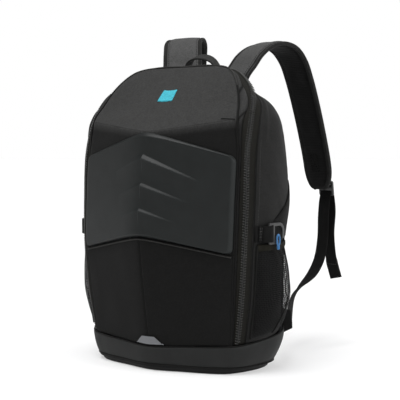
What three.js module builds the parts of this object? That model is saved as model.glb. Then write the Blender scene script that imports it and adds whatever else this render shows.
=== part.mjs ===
// Backpack-style carrying case for a camera drone: a soft body on a coated base, a full-height front lid
// with a moulded EVA shell, side pockets with hook straps, and padded shoulder straps.
// Millimetres, +Z up, +Y towards the wearer's back, +X to the wearer's right when the case faces -Y.
// The origin is on the flat underside of the base, on the plane of symmetry.
import * as THREE from 'three';

// ---------------------------------------------------------------- driving dimensions
const GAP = 0.4; // clearance between neighbouring solids
const SEAM_FRONT_Y = -64; // front point of the seam between base and body
const SEAM_FRONT_Z = 39; // its height there
const SEAM_SLOPE = 0.165; // the seam rises towards the back
const SECTION_COUNT = 10; // spans from the base seam to the top centre
const CREASE_SOFTNESS = 0.12; // rounding of the lid's vertical centre ridge

const WALL = 4; // padded body walls
const LID_FABRIC = 3; // lid panels, measured along Y
const GUSSET = 2; // fabric of the lid's sides
const BACK_Y = 86; // seam between walls and back panel
const BACK_FOAM = 4.6;
const BACK_PAD = 7;

const ZIP_COIL = 1.8; // one half of the coil chain
const ZIP_COIL_HEIGHT = 2.4;
const ZIP_TAPE_THICKNESS = 1.2;
const SLIDER_X = 9; // parking place of each zip slider beside the centre
const SLIDER_LENGTH = 12;
const SLIDER_PLATE = 1.4;
const SLIDER_WIDTH = 9;
const PULL_LENGTH = 30;
const PULL_WIDTH = 7;
const PULL_THICKNESS = 1.6;

const WEBBING = 25; // strap webbing width
const WEBBING_THICKNESS = 1.8;

const STRAP_ROOT = new THREE.Vector2(42, 94); // where the plane of a strap's loop meets the back
// Each strap's loop stands in an upright plane: its heading from above, and how high the loop arches.
const STRAPS = [
  { side: 'right', heading: new THREE.Vector2(0.29, 0.957), arch: 1, bow: 20 },
  { side: 'left', heading: new THREE.Vector2(0.551, 0.8345), arch: 1.22, bow: 6 },
];
const STRAP_TOP_WIDTH = 62;
const STRAP_END_WIDTH = 52;
const STRAP_PAD = 11;
const ANCHOR = new THREE.Vector3(154, 97, 67); // lower end of a shoulder strap

const HOOK_LENGTH = 40;
const HOOK_HEIGHT = 32;
const HOOK_THICKNESS = 3.4;

// Height of the seam between the coated base and the body at a depth y.
const seamZ = (y) => SEAM_FRONT_Z + SEAM_SLOPE * (y - SEAM_FRONT_Y);

// The body's right half, from the base seam (first row) over the shoulder to the top centre (last row).
// Each row gives one place on every running line: the lid's front edge, the zip, the start of the side
// wall, the widest line of the wall and the seam with the back panel.
const SECTIONS = [
  {
    front: [125.5, -31, 45], zip: [133, -23.5, 46.3],
    wall: [141, -15.5, 47.6], wide: [163, 40, 56.8], back: [147, BACK_Y, 64.4],
  },
  {
    front: [131, -38, 112], zip: [142.5, -28, 112],
    wall: [152, -19.5, 112], wide: [163, 40, 115], back: [149, BACK_Y, 118],
  },
  {
    front: [136, -42, 185], zip: [149, -31, 188],
    wall: [158, -22, 188], wide: [165, 40, 190], back: [151, BACK_Y, 190],
  },
  {
    front: [137.5, -39, 264], zip: [150.5, -28.5, 264],
    wall: [160, -20, 264], wide: [177.5, 40, 264], back: [157, BACK_Y, 264],
  },
  {
    front: [137.7, -33.5, 332], zip: [150, -24, 335],
    wall: [160, -15, 335], wide: [174, 40, 335], back: [153.5, BACK_Y, 335],
  },
  {
    front: [133.8, -28, 383.4], zip: [148.5, -11, 380],
    wall: [157, -1, 381], wide: [169, 40, 384], back: [143, BACK_Y, 384],
  },
  {
    front: [126, -11, 410], zip: [143, 6, 412],
    wall: [149, 16, 408], wide: [154, 44, 406], back: [126, BACK_Y, 406],
  },
  {
    front: [111, 7, 441], zip: [127, 24, 436],
    wall: [122, 35, 432], wide: [113, 58, 428], back: [102, BACK_Y, 424],
  },
  {
    front: [88, 24, 463], zip: [95, 38, 459],
    wall: [94, 49, 453], wide: [86, 68, 445], back: [72, BACK_Y, 435],
  },
  {
    front: [50, 33, 470], zip: [52, 48, 466],
    wall: [54, 58, 464], wide: [48, 73, 457], back: [38, BACK_Y, 440],
  },
  {
    front: [0, 34, 470], zip: [0, 48, 466],
    wall: [0, 59, 465], wide: [0, 74, 459], back: [0, BACK_Y, 441],
  },
];
const ZIP_STRAIGHT = [9, 11]; // the zip runs straight across the top between these sections
const CREASE_SECTION = 5; // the section at which the lid's front folds back towards the ridge

// Depth of the lid's centre ridge at a height, below the crease.
const CENTRE_PROFILE = [[39, -64], [125, -79], [207, -88.5], [290, -79], [366, -69], [390, -66]];
const CREASE_CENTRE_Z = 366;
const CREASE_EDGE_Z = 383;
const RIDGE_CENTRE = [34, 470]; // y and z of the top edge of the lid at the centre
const EVA_TOP = { centre: 364, edge: 327 };
const EVA_BOTTOM = { centre: 208, edge: 183 };
const EVA_THICKNESS = 4.6;

// ---------------------------------------------------------------- colours
const COLOURS = {
  charcoal: { color: 0x3a3a3a, roughness: 0.85, metalness: 0 },
  black: { color: 0x1e1e1e, roughness: 0.9, metalness: 0 },
  moulded: { color: 0x2c3031, roughness: 0.5, metalness: 0 },
  coated: { color: 0x262727, roughness: 0.6, metalness: 0 },
  reflective: { color: 0x75777b, roughness: 0.4, metalness: 0 },
  zip: { color: 0x2a2a27, roughness: 0.7, metalness: 0 },
  webbing: { color: 0x1a1a1a, roughness: 0.8, metalness: 0 },
  mesh: { color: 0x111111, roughness: 0.9, metalness: 0 },
  acetal: { color: 0x3b3b3b, roughness: 0.4, metalness: 0 },
  zinc: { color: 0x55565a, roughness: 0.35, metalness: 0.9 },
  blue: { color: 0x3f88c0, roughness: 0.6, metalness: 0 },
  lining: { color: 0x3c3e42, roughness: 0.9, metalness: 0 },
};

const SIDES = [['right', 1], ['left', -1]];

const bag = new THREE.Group();

function add(name, colour, geometry, parent = bag) {
  const mesh = new THREE.Mesh(geometry, new THREE.MeshStandardMaterial(COLOURS[colour]));
  mesh.name = name;
  parent.add(mesh);
  return mesh;
}

// ---------------------------------------------------------------- solids from points
// A closed solid from points and triangle indices, with its faces pointing out.
function solid(points, faces) {
  let volume = 0;
  for (let i = 0; i < faces.length; i += 3) {
    const [a, b, c] = faces.slice(i, i + 3).map((k) => points[k]);
    volume += a.dot(b.clone().cross(c));
  }
  const index = [...faces];
  if (volume < 0) {
    index.reverse();
  }
  const geometry = new THREE.BufferGeometry().setFromPoints(points);
  geometry.setIndex(index);
  geometry.computeVertexNormals();
  return geometry;
}

// A sheet of material: the outer face is pointAt(u, v), the inner face is moved by inwardAt(u, v).
function slab(pointAt, inwardAt, columns, rows) {
  const outer = [];
  const inner = [];
  for (let j = 0; j <= rows; j += 1) {
    for (let i = 0; i <= columns; i += 1) {
      const point = pointAt(i / columns, j / rows);
      outer.push(point);
      inner.push(point.clone().add(inwardAt(i / columns, j / rows)));
    }
  }
  const width = columns + 1;
  const back = outer.length;
  const faces = [];
  const quad = (a, b, c, d) => faces.push(a, b, c, a, c, d);
  for (let j = 0; j < rows; j += 1) {
    for (let i = 0; i < columns; i += 1) {
      const a = j * width + i;
      quad(a, a + 1, a + width + 1, a + width);
      quad(back + a, back + a + width, back + a + width + 1, back + a + 1);
    }
    const left = j * width;
    const right = left + columns;
    quad(left, left + width, back + left + width, back + left);
    quad(right, back + right, back + right + width, right + width);
  }
  for (let i = 0; i < columns; i += 1) {
    const top = rows * width + i;
    quad(i, back + i, back + i + 1, i + 1);
    quad(top, top + 1, back + top + 1, back + top);
  }
  return solid([...outer, ...inner], faces);
}

// A skin over a stack of closed rings with equal point counts, capped at both ends.
function skin(rings) {
  const count = rings[0].length;
  const points = rings.flat();
  const faces = [];
  for (let r = 0; r + 1 < rings.length; r += 1) {
    for (let i = 0; i < count; i += 1) {
      const a = r * count + i;
      const b = r * count + ((i + 1) % count);
      faces.push(a, b, b + count, a, b + count, a + count);
    }
  }
  const cap = (ring, start, flip) => {
    const centre = ring.reduce((sum, p) => sum.add(p), new THREE.Vector3()).divideScalar(count);
    const hub = points.push(centre) - 1;
    for (let i = 0; i < count; i += 1) {
      const a = start + i;
      const b = start + ((i + 1) % count);
      faces.push(...(flip ? [hub, b, a] : [hub, a, b]));
    }
  };
  cap(rings[0], 0, true);
  cap(rings[rings.length - 1], (rings.length - 1) * count, false);
  return solid(points, faces);
}

// Corners of a band's section: which side of the middle, and how a cut corner steps in from it.
const SQUARE_CORNERS = [[-1, -1, 0, 0], [1, -1, 0, 0], [1, 1, 0, 0], [-1, 1, 0, 0]];
const CUT_CORNERS = [
  [-1, -1, 1, 0], [1, -1, -1, 0], [1, -1, 0, 1], [1, 1, 0, -1],
  [1, 1, -1, 0], [-1, 1, 1, 0], [-1, 1, 0, -1], [-1, -1, 0, 1],
];

// A flat band along a curve. acrossAt(t) is the width direction, section(t) gives [width, thickness].
function band(curve, acrossAt, section, steps, from = 0, to = 1) {
  const rings = [];
  for (let i = 0; i <= steps; i += 1) {
    const t = from + ((to - from) * i) / steps;
    const centre = curve.getPoint(t);
    const tangent = curve.getTangent(t);
    const across = acrossAt(t).clone();
    across.addScaledVector(tangent, -across.dot(tangent)).normalize();
    const out = new THREE.Vector3().crossVectors(across, tangent).normalize();
    const [width, thickness, corner = 0] = section(t);
    const corners = corner > 0 ? CUT_CORNERS : SQUARE_CORNERS;
    rings.push(corners.map(([sx, sy, cx, cy]) => centre.clone()
      .addScaledVector(across, (sx * width) / 2 + cx * corner)
      .addScaledVector(out, (sy * thickness) / 2 + cy * corner)));
  }
  return skin(rings);
}

// The same solid on the other side of the plane of symmetry.
function mirrored(geometry) {
  const copy = geometry.clone().scale(-1, 1, 1);
  const index = Array.from(copy.index.array).reverse();
  copy.setIndex(index);
  copy.computeVertexNormals();
  return copy;
}

function addPair(name, colour, geometry) {
  add(`${name}_right`, colour, geometry);
  add(`${name}_left`, colour, mirrored(geometry));
}

// ---------------------------------------------------------------- the body's running lines
const vector = ([x, y, z]) => new THREE.Vector3(x, y, z);
const mix = (a, b, t) => a.clone().lerp(b, t);

function runningLine(name) {
  const right = SECTIONS.map((section) => vector(section[name]));
  const left = right.slice(0, -1).reverse().map((p) => new THREE.Vector3(-p.x, p.y, p.z));
  return new THREE.CatmullRomCurve3([...right, ...left]);
}
const LINES = Object.fromEntries(Object.keys(SECTIONS[0]).map((name) => [name, runningLine(name)]));

// The point of a running line at a section number, 0 at the right base seam and 20 at the left one.
function lineAt(name, section) {
  if (name === 'zip' && section > ZIP_STRAIGHT[0] && section < ZIP_STRAIGHT[1]) {
    const span = (section - ZIP_STRAIGHT[0]) / (ZIP_STRAIGHT[1] - ZIP_STRAIGHT[0]);
    return mix(lineAt(name, ZIP_STRAIGHT[0]), lineAt(name, ZIP_STRAIGHT[1]), span);
  }
  return LINES[name].getPoint(THREE.MathUtils.clamp(section / (2 * SECTION_COUNT), 0, 1));
}

// The padded wall between its start (v = 0) and the back seam (v = 1), bulging to the widest line.
const WIDEST_V = 0.56;
function wallAt(section, v) {
  const start = lineAt('wall', section);
  const wide = lineAt('wide', section);
  const back = lineAt('back', section);
  return start.multiplyScalar(((v - WIDEST_V) * (v - 1)) / WIDEST_V)
    .addScaledVector(wide, (v * (v - 1)) / (WIDEST_V * (WIDEST_V - 1)))
    .addScaledVector(back, (v * (v - WIDEST_V)) / (1 - WIDEST_V));
}

// Unit normal of a surface, pointing away from the middle of the bag.
const MIDDLE = new THREE.Vector3(0, 25, 240);
function outwardAt(surface, u, v, step = 0.002) {
  const du = surface(u + step, v).sub(surface(u - step, v));
  const dv = surface(u, v + step).sub(surface(u, v - step));
  const normal = du.cross(dv).normalize();
  return normal.dot(surface(u, v).sub(MIDDLE)) < 0 ? normal.negate() : normal;
}

// A point that stands a distance outside the wall.
const offWall = (section, v, distance) => wallAt(section, v)
  .addScaledVector(outwardAt(wallAt, section, Math.min(Math.max(v, 0.01), 0.99)), distance);

// A sheet that covers part of the wall, between two distances from the wall's outer face.
function wallSheet(from, to, vFrom, vTo, outer, thickness, columns, rows) {
  const place = (u, v) => [THREE.MathUtils.lerp(from, to, u), THREE.MathUtils.lerp(vFrom, vTo, v)];
  const distance = typeof outer === 'function' ? outer : () => outer;
  const pointAt = (u, v) => offWall(...place(u, v), distance(u, v));
  const inwardAt = (u, v) => offWall(...place(u, v), distance(u, v) - thickness).sub(pointAt(u, v));
  return slab(pointAt, inwardAt, columns, rows);
}

// ---------------------------------------------------------------- the lid's front surface
// Smooth curve through [z, value] pairs.
function profile(pairs) {
  const slope = (i) => {
    const a = pairs[Math.max(i - 1, 0)];
    const b = pairs[Math.min(i + 1, pairs.length - 1)];
    return (b[1] - a[1]) / (b[0] - a[0]);
  };
  return (z) => {
    let i = 0;
    while (i < pairs.length - 2 && z > pairs[i + 1][0]) {
      i += 1;
    }
    const [z0, v0] = pairs[i];
    const [z1, v1] = pairs[i + 1];
    const t = (z - z0) / (z1 - z0);
    const h = z1 - z0;
    return v0 * (1 + 2 * t) * (1 - t) ** 2 + h * slope(i) * t * (1 - t) ** 2
      + v1 * t * t * (3 - 2 * t) + h * slope(i + 1) * t * t * (t - 1);
  };
}
const centreY = profile(CENTRE_PROFILE);
const lowerFront = SECTIONS.slice(0, CREASE_SECTION + 1).map((section) => section.front);
const edgeX = profile(lowerFront.map(([x, , z]) => [z, x]));
const edgeY = profile(lowerFront.map(([, y, z]) => [z, y]));

// 0 on the centre ridge, 1 at the lid's side edge, with the ridge rounded off.
function fold(s) {
  const soft = CREASE_SOFTNESS;
  return (Math.hypot(s, soft) - soft) / (Math.hypot(1, soft) - soft);
}

// The lid's front below the crease: s runs from -1 at the left edge to 1 at the right edge.
function frontAt(s, z) {
  const y = THREE.MathUtils.lerp(centreY(z), edgeY(z), fold(s));
  return new THREE.Vector3(s * edgeX(z), y, z);
}

// Columns of the lid's panels across the front, close together at the rounded centre ridge.
const HALF_COLUMNS = [0, 0.07, 0.15, 0.26, 0.42, 0.62, 0.82, 0.955, 1];
const COLUMNS = [...HALF_COLUMNS.slice(1).reverse().map((s) => -s), ...HALF_COLUMNS];
const pick = (list, share) => list[Math.round(share * (list.length - 1))];

// A panel of the lid between two heights, each given at the centre and at the edge.
function lidPanel({
  low, high, columns, rows, reach = 1, behind = 0, thickness = LID_FABRIC, proud = () => 0,
}) {
  const height = (line, s) => THREE.MathUtils.lerp(line.centre, line.edge, fold(s));
  const place = (u, v) => [pick(columns, u) * reach, pick(rows, v)];
  const pointAt = (u, v) => {
    const [s, share] = place(u, v);
    const point = frontAt(s, THREE.MathUtils.lerp(height(low, s), height(high, s), share));
    point.y += behind - proud(s / reach, share);
    return point;
  };
  const inwardAt = (u, v) => {
    const [s, share] = place(u, v);
    return new THREE.Vector3(0, thickness + proud(s / reach, share), 0);
  };
  return slab(pointAt, inwardAt, columns.length - 1, rows.length - 1);
}
const evenRows = (count) => Array.from({ length: count + 1 }, (_, k) => k / count);

// ================================================================ base
// Plan outlines of the base, right half, front centre to back centre, at the seam and at the floor.
const BASE_TOP = [
  [0, -66.5], [62, -52.5], [108, -39], [133, -28], [146, -14],
  [159, 14], [166, 42], [163, 68], [151, 86], [128, 93],
];
const BASE_FLOOR = [
  [0, -61], [56, -48], [98, -36], [118, -25], [127, -12],
  [136, 14], [140, 42], [137, 66], [126, 82], [106, 88],
];
const BASE_BACK = { top: 93.5, floor: 88.5 };
const BASE_WALL = 3;
const BASE_POINTS = 56;
const BASE_AXIS = new THREE.Vector2(0, 18);

function baseOutline(half, backY) {
  const right = half.map(([x, y]) => new THREE.Vector3(x, y, 0));
  const left = half.slice(1).reverse().map(([x, y]) => new THREE.Vector3(-x, y, 0));
  const back = [60, 0, -60].map((x) => new THREE.Vector3(x, backY, 0));
  return new THREE.CatmullRomCurve3([...right, ...back, ...left], true);
}
const baseTopLine = baseOutline(BASE_TOP, BASE_BACK.top);
const baseFloorLine = baseOutline(BASE_FLOOR, BASE_BACK.floor);

// One ring of the base: share 0 at the floor and 1 at the seam, drawn in by an inset.
function baseRing(share, inset, lift = 0) {
  const ring = [];
  for (let i = 0; i < BASE_POINTS; i += 1) {
    const low = baseFloorLine.getPoint(i / BASE_POINTS);
    const high = baseTopLine.getPoint(i / BASE_POINTS);
    const point = mix(low, high, Math.sin((share * Math.PI) / 2) ** 0.9);
    const outward = new THREE.Vector2(point.x, point.y).sub(BASE_AXIS).normalize();
    point.x -= outward.x * inset;
    point.y -= outward.y * inset;
    point.z = share * (seamZ(high.y) - GAP) + lift;
    ring.push(point);
  }
  return ring;
}

add('base_tray', 'coated', skin([
  baseRing(0, 7),
  baseRing(0, 1.5, 3.5),
  baseRing(0.25, 0),
  baseRing(0.6, 0),
  baseRing(1, 0),
  baseRing(1, BASE_WALL),
  baseRing(0.6, BASE_WALL),
  baseRing(0.25, BASE_WALL + 1),
  baseRing(0, BASE_WALL + 9, BASE_WALL + 1),
]));
add('base_board', 'lining', skin([
  baseRing(0, BASE_WALL + 13, BASE_WALL + 1 + GAP),
  baseRing(0, BASE_WALL + 11, BASE_WALL + 4),
]));

// ================================================================ walls
const SHOULDER = 6.9; // section at which side wall and top panel are sewn together
const wallPiece = (from, to, columns) => wallSheet(from, to, 0, 1, 0, WALL, columns, 8);
addPair('side_panel', 'black', wallPiece(0, SHOULDER, 14));
add('top_panel', 'charcoal', wallPiece(SHOULDER + 0.03, 2 * SECTION_COUNT - SHOULDER - 0.03, 16));

// ================================================================ back panel
const BACK_LOW_Z = 66;

// An upright slab whose outline is the back seam, drawn in by an inset.
function backShape(inset) {
  const shape = new THREE.Shape();
  const steps = 36;
  for (let i = 0; i <= steps; i += 1) {
    const point = lineAt('back', (2 * SECTION_COUNT * i) / steps);
    const x = point.x * (1 - inset / 155);
    const z = Math.max(point.z - (point.z > 300 ? inset : 0), BACK_LOW_Z);
    if (i === 0) {
      shape.moveTo(x, z);
    } else {
      shape.lineTo(x, z);
    }
  }
  shape.closePath();
  return shape;
}

const CORNER_STEPS = 4;

// Extrudes a flat outline along +Z.
function plate(shape, depth) {
  return new THREE.ExtrudeGeometry(shape, { depth, bevelEnabled: false, curveSegments: CORNER_STEPS });
}

// Extrudes an X-Z outline along +Y from a depth.
function upright(shape, y, depth) {
  const geometry = plate(shape, depth);
  geometry.rotateX(Math.PI / 2);
  geometry.translate(0, y + depth, 0);
  return geometry;
}

function roundedShape(width, height, radius) {
  const shape = new THREE.Shape();
  const x = width / 2 - radius;
  const y = height / 2 - radius;
  shape.absarc(x, y, radius, 0, Math.PI / 2);
  shape.absarc(-x, y, radius, Math.PI / 2, Math.PI);
  shape.absarc(-x, -y, radius, Math.PI, 1.5 * Math.PI);
  shape.absarc(x, -y, radius, 1.5 * Math.PI, 2 * Math.PI);
  return shape;
}

// A cushion with a crowned face, standing on the back panel.
function backCushion(width, height, depth, steps = 8) {
  const curve = (t) => Math.sqrt(Math.max(0, 1 - (2 * t - 1) ** 4));
  const crown = (u, v) => depth * (0.35 + 0.65 * curve(u) * curve(v));
  const pointAt = (u, v) => new THREE.Vector3((u - 0.5) * width, crown(u, v), (v - 0.5) * height);
  return slab(pointAt, (u, v) => new THREE.Vector3(0, -pointAt(u, v).y, 0), steps, steps);
}

const backFaceY = BACK_Y + GAP + BACK_FOAM;
add('back_panel', 'black', upright(backShape(3), BACK_Y + GAP, BACK_FOAM));

const PAD = { width: 88, height: 236, x: 66, z: 262 };
const LUMBAR = { width: 220, height: 58, z: 106 };
const YOKE = { width: 176, height: 34, radius: 8, thickness: 3.4, z: 404 };
for (const [side, sign] of SIDES) {
  const pad = add(`back_pad_${side}`, 'mesh', backCushion(PAD.width, PAD.height, BACK_PAD));
  pad.position.set(sign * PAD.x, backFaceY + GAP, PAD.z);
}
const lumbarPad = add('lumbar_pad', 'mesh', backCushion(LUMBAR.width, LUMBAR.height, BACK_PAD));
lumbarPad.position.set(0, backFaceY + GAP, LUMBAR.z);
const yokeShape = roundedShape(YOKE.width, YOKE.height, YOKE.radius);
const yoke = add('strap_yoke', 'black', upright(yokeShape, 0, YOKE.thickness));
yoke.position.set(0, backFaceY + GAP, YOKE.z);

// ================================================================ zip
// The gusset starts just behind the lid panels.
function gussetStart(section) {
  const point = lineAt('front', section);
  point.y += LID_FABRIC + 3 * GAP;
  return point;
}

// Directions at the zip: across it towards the wall, and outward.
function zipFrame(section) {
  const step = 0.05;
  const across = lineAt('wall', section).sub(gussetStart(section)).normalize();
  const along = lineAt('zip', Math.min(section + step, 2 * SECTION_COUNT))
    .sub(lineAt('zip', Math.max(section - step, 0)))
    .normalize();
  const normal = along.clone().cross(across).normalize();
  if (normal.dot(lineAt('zip', section).sub(MIDDLE)) < 0) {
    normal.negate();
  }
  return { across, normal };
}

const ZIP_STEPS = 56;
const COIL_EDGE = 0.2;
const COIL_RAISE = 0.8;
const TAPE_EDGE = COIL_EDGE + ZIP_COIL + GAP;
const GUSSET_SHARE = 0.3; // share of the lid's side that is fabric, the rest is zip tape

// A strip of the zip from its outer edge: raised above the surface and reaching in by its thickness.
function zipStrip(edgesAt, raise, thickness) {
  const pointAt = (u, v) => {
    const section = 2 * SECTION_COUNT * u;
    const edges = edgesAt(section);
    return mix(edges[0], edges[1], v).addScaledVector(zipFrame(section).normal, raise);
  };
  const inwardAt = (u) => zipFrame(2 * SECTION_COUNT * u).normal.multiplyScalar(-thickness);
  return slab(pointAt, inwardAt, ZIP_STEPS, 1);
}
const besideZip = (section, distance) => lineAt('zip', section)
  .addScaledVector(zipFrame(section).across, distance);

const coilEdges = (side) => (section) => [
  besideZip(section, side * COIL_EDGE),
  besideZip(section, side * (COIL_EDGE + ZIP_COIL)),
];
const lidTapeFar = (section, gap = 0) => (
  mix(gussetStart(section), lineAt('zip', section), GUSSET_SHARE + gap));
const tapeEdges = {
  body: (section) => [
    besideZip(section, TAPE_EDGE),
    mix(lineAt('wall', section), lineAt('zip', section), 0.1),
  ],
  lid: (section) => [besideZip(section, -TAPE_EDGE), lidTapeFar(section, 0.04)],
};
for (const [owner, side] of [['body', 1], ['lid', -1]]) {
  add(`zip_coil_${owner}`, 'zip', zipStrip(coilEdges(side), COIL_RAISE, ZIP_COIL_HEIGHT));
  add(`zip_tape_${owner}`, 'zip', zipStrip(tapeEdges[owner], 0, ZIP_TAPE_THICKNESS));
}

// Two sliders parked nose to nose at the top centre, each with a pull tab lying back over the top panel.
const zipTop = lineAt('zip', SECTION_COUNT);
const topFrame = zipFrame(SECTION_COUNT);
for (const [side, sign] of SIDES) {
  const slider = new THREE.Group();
  slider.position.copy(zipTop).addScaledVector(topFrame.normal, COIL_RAISE + GAP);
  slider.position.x = sign * SLIDER_X;
  slider.rotation.x = Math.atan2(topFrame.across.z, topFrame.across.y);
  bag.add(slider);
  const sliderPlate = plate(roundedShape(SLIDER_LENGTH, SLIDER_WIDTH, 3), SLIDER_PLATE);
  add(`zip_slider_${side}`, 'zinc', sliderPlate, slider);
  const tab = plate(roundedShape(PULL_WIDTH, PULL_LENGTH, 2.5), PULL_THICKNESS);
  const pull = add(`zip_pull_${side}`, 'zinc', tab, slider);
  pull.position.set(0, PULL_LENGTH / 2 + 1, SLIDER_PLATE + GAP);
}

// ================================================================ lid
const EDGE_INSET = 0.997; // the panels stop just short of the gusset
const seamLine = { centre: SEAM_FRONT_Z + GAP, edge: SECTIONS[0].front[2] };
const EVA_SEAM = { centre: 206.5, edge: 181.5 };
const midLow = { centre: EVA_SEAM.centre + 2 * GAP, edge: EVA_SEAM.edge + 2 * GAP };
const crease = { centre: CREASE_CENTRE_Z, edge: CREASE_EDGE_Z };
const lowerColumns = [0.003, ...HALF_COLUMNS.slice(1)];
const lowerPanel = lidPanel({
  low: seamLine, high: EVA_SEAM, columns: lowerColumns, rows: evenRows(6), reach: EDGE_INSET,
});
addPair('lower_front_panel', 'black', lowerPanel);
add('lid_mid_panel', 'black', lidPanel({
  low: midLow, high: crease, columns: COLUMNS, rows: evenRows(8), reach: EDGE_INSET,
}));

// The moulded shell: a plate with a bevelled rim, standing on the mid panel.
const EVA_BEVEL = 0.55; // share of the thickness that the rim loses
const evaProud = (s, share) => {
  const rim = Math.abs(s) > 0.99 || share < 0.01 || share > 0.99;
  return rim ? -EVA_BEVEL * EVA_THICKNESS : 0;
};
add('eva_shell', 'moulded', lidPanel({
  low: EVA_BOTTOM,
  high: EVA_TOP,
  columns: COLUMNS,
  rows: [0, 0.06, 0.28, 0.5, 0.72, 0.94, 1],
  reach: 0.99,
  behind: -EVA_THICKNESS - 2 * GAP,
  thickness: EVA_THICKNESS,
  proud: evaProud,
}));
add('lid_foam_panel', 'lining', lidPanel({
  low: { centre: 222, edge: 222 },
  high: { centre: 352, edge: 352 },
  columns: COLUMNS,
  rows: evenRows(6),
  reach: 0.86,
  behind: LID_FABRIC + 3 * GAP,
  thickness: 6,
}));

// The upper panel leans back from the crease to the ridge, narrowing over the shoulders.
const EDGE_STOP = 8.75; // section at which the panel's side edge meets its flat top edge
function upperAt(s, q) {
  const edge = lineAt('front', THREE.MathUtils.lerp(CREASE_SECTION, EDGE_STOP, q));
  const start = frontAt(s, THREE.MathUtils.lerp(crease.centre, crease.edge, fold(s)));
  start.z += GAP + 0.3;
  const foldShare = fold(s);
  const creaseCentre = new THREE.Vector3(0, centreY(crease.centre), crease.centre);
  const point = mix(mix(creaseCentre, new THREE.Vector3(0, ...RIDGE_CENTRE), q), edge, foldShare);
  point.x = s * edge.x;
  const base = mix(creaseCentre, lineAt('front', CREASE_SECTION), foldShare);
  base.x = start.x;
  return point.add(start.sub(base).multiplyScalar(1 - q));
}
add('lid_upper_panel', 'charcoal', slab(
  (u, v) => upperAt(pick(COLUMNS, u) * EDGE_INSET, v),
  () => new THREE.Vector3(0, LID_FABRIC, 0),
  COLUMNS.length - 1,
  10,
));

// The side of the lid, from behind the front panels to the zip tape.
add('lid_gusset', 'charcoal', zipStrip((section) => [gussetStart(section), lidTapeFar(section)], 0, GUSSET));

// Reflective safety tab at the foot of the centre seam.
const TAB_HALF_TOP = 0.075;
const TAB_HALF_BOTTOM = 0.23;
const TAB_LOW = 40.8;
const TAB_HIGH = 52.5;
add('reflective_tab', 'reflective', slab(
  (u, v) => {
    const s = (2 * u - 1) * THREE.MathUtils.lerp(TAB_HALF_BOTTOM, TAB_HALF_TOP, v);
    const point = frontAt(s, THREE.MathUtils.lerp(TAB_LOW + 8 * Math.abs(s), TAB_HIGH, v));
    point.y -= 1.6;
    return point;
  },
  () => new THREE.Vector3(0, 1, 0),
  8,
  1,
));

// ================================================================ inside the main compartment
const SLEEVE = { width: 262, height: 330, radius: 20, thickness: 4, y: 62, z: 232 };
const DIVIDER = { width: 254, depth: 66, thickness: 9, y: 27 };
const sleeveShape = roundedShape(SLEEVE.width, SLEEVE.height, SLEEVE.radius);
const sleeve = add('laptop_sleeve_panel', 'lining', upright(sleeveShape, 0, SLEEVE.thickness));
sleeve.position.set(0, SLEEVE.y, SLEEVE.z);
for (const [name, z] of [['padded_divider_lower', 168], ['padded_divider_upper', 288]]) {
  const divider = add(name, 'lining', new THREE.BoxGeometry(DIVIDER.width, DIVIDER.depth, DIVIDER.thickness));
  divider.position.set(0, DIVIDER.y, z);
}

// ================================================================ side pockets and compression straps
const POCKET_LOW = 0.12;
const POCKET_HIGH = 2.0;
const HEM_HIGH = 2.12;
const pocketBelly = (u) => 15 * Math.sin(Math.PI * Math.min(1, u * 1.02)) ** 0.7 * (1 - 0.25 * u);
const pocketSwell = (u) => 1.2 + pocketBelly(u) + 4.6 * u;
const acrossPocket = (v) => Math.sin(Math.PI * v) ** 0.6;
const pocketOff = (u, v) => 2 + (pocketSwell(u) - 1) * acrossPocket(v);
const POCKET_SPAN = [0.06, 0.9]; // from the zip side to the back side of the wall
addPair('mesh_pocket', 'mesh', wallSheet(POCKET_LOW, POCKET_HIGH, ...POCKET_SPAN, pocketOff, 1.4, 12, 10));
addPair('pocket_hem', 'webbing', wallSheet(
  POCKET_HIGH + 0.012,
  HEM_HIGH,
  ...POCKET_SPAN,
  (u, v) => pocketOff(1, v) + 0.4,
  2.2,
  1,
  10,
));

const STRAP_LOW = 2.155;
const STRAP_HIGH = 2.485;
addPair('compression_strap', 'webbing', wallSheet(
  STRAP_LOW,
  STRAP_HIGH,
  0.02,
  0.24,
  GAP + WEBBING_THICKNESS,
  WEBBING_THICKNESS,
  2,
  4,
));

// Triangular wing that ties the hook to the back panel.
const WING_SPAN = [0.52, 0.985];
const WING_OUTER = 3.2; // distance of its two faces from the wall
const WING_INNER = 1.2;
function wingAt(u, v, distance) {
  const spread = THREE.MathUtils.lerp(0.1, 0.3, v);
  const section = THREE.MathUtils.lerp(2.3 - spread * 0.45, 2.36 + spread * 1.3, u);
  return offWall(section, THREE.MathUtils.lerp(...WING_SPAN, v), distance);
}
addPair('side_wing', 'black', slab(
  (u, v) => wingAt(u, v, WING_OUTER),
  (u, v) => wingAt(u, v, WING_INNER).sub(wingAt(u, v, WING_OUTER)),
  4,
  8,
));

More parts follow.
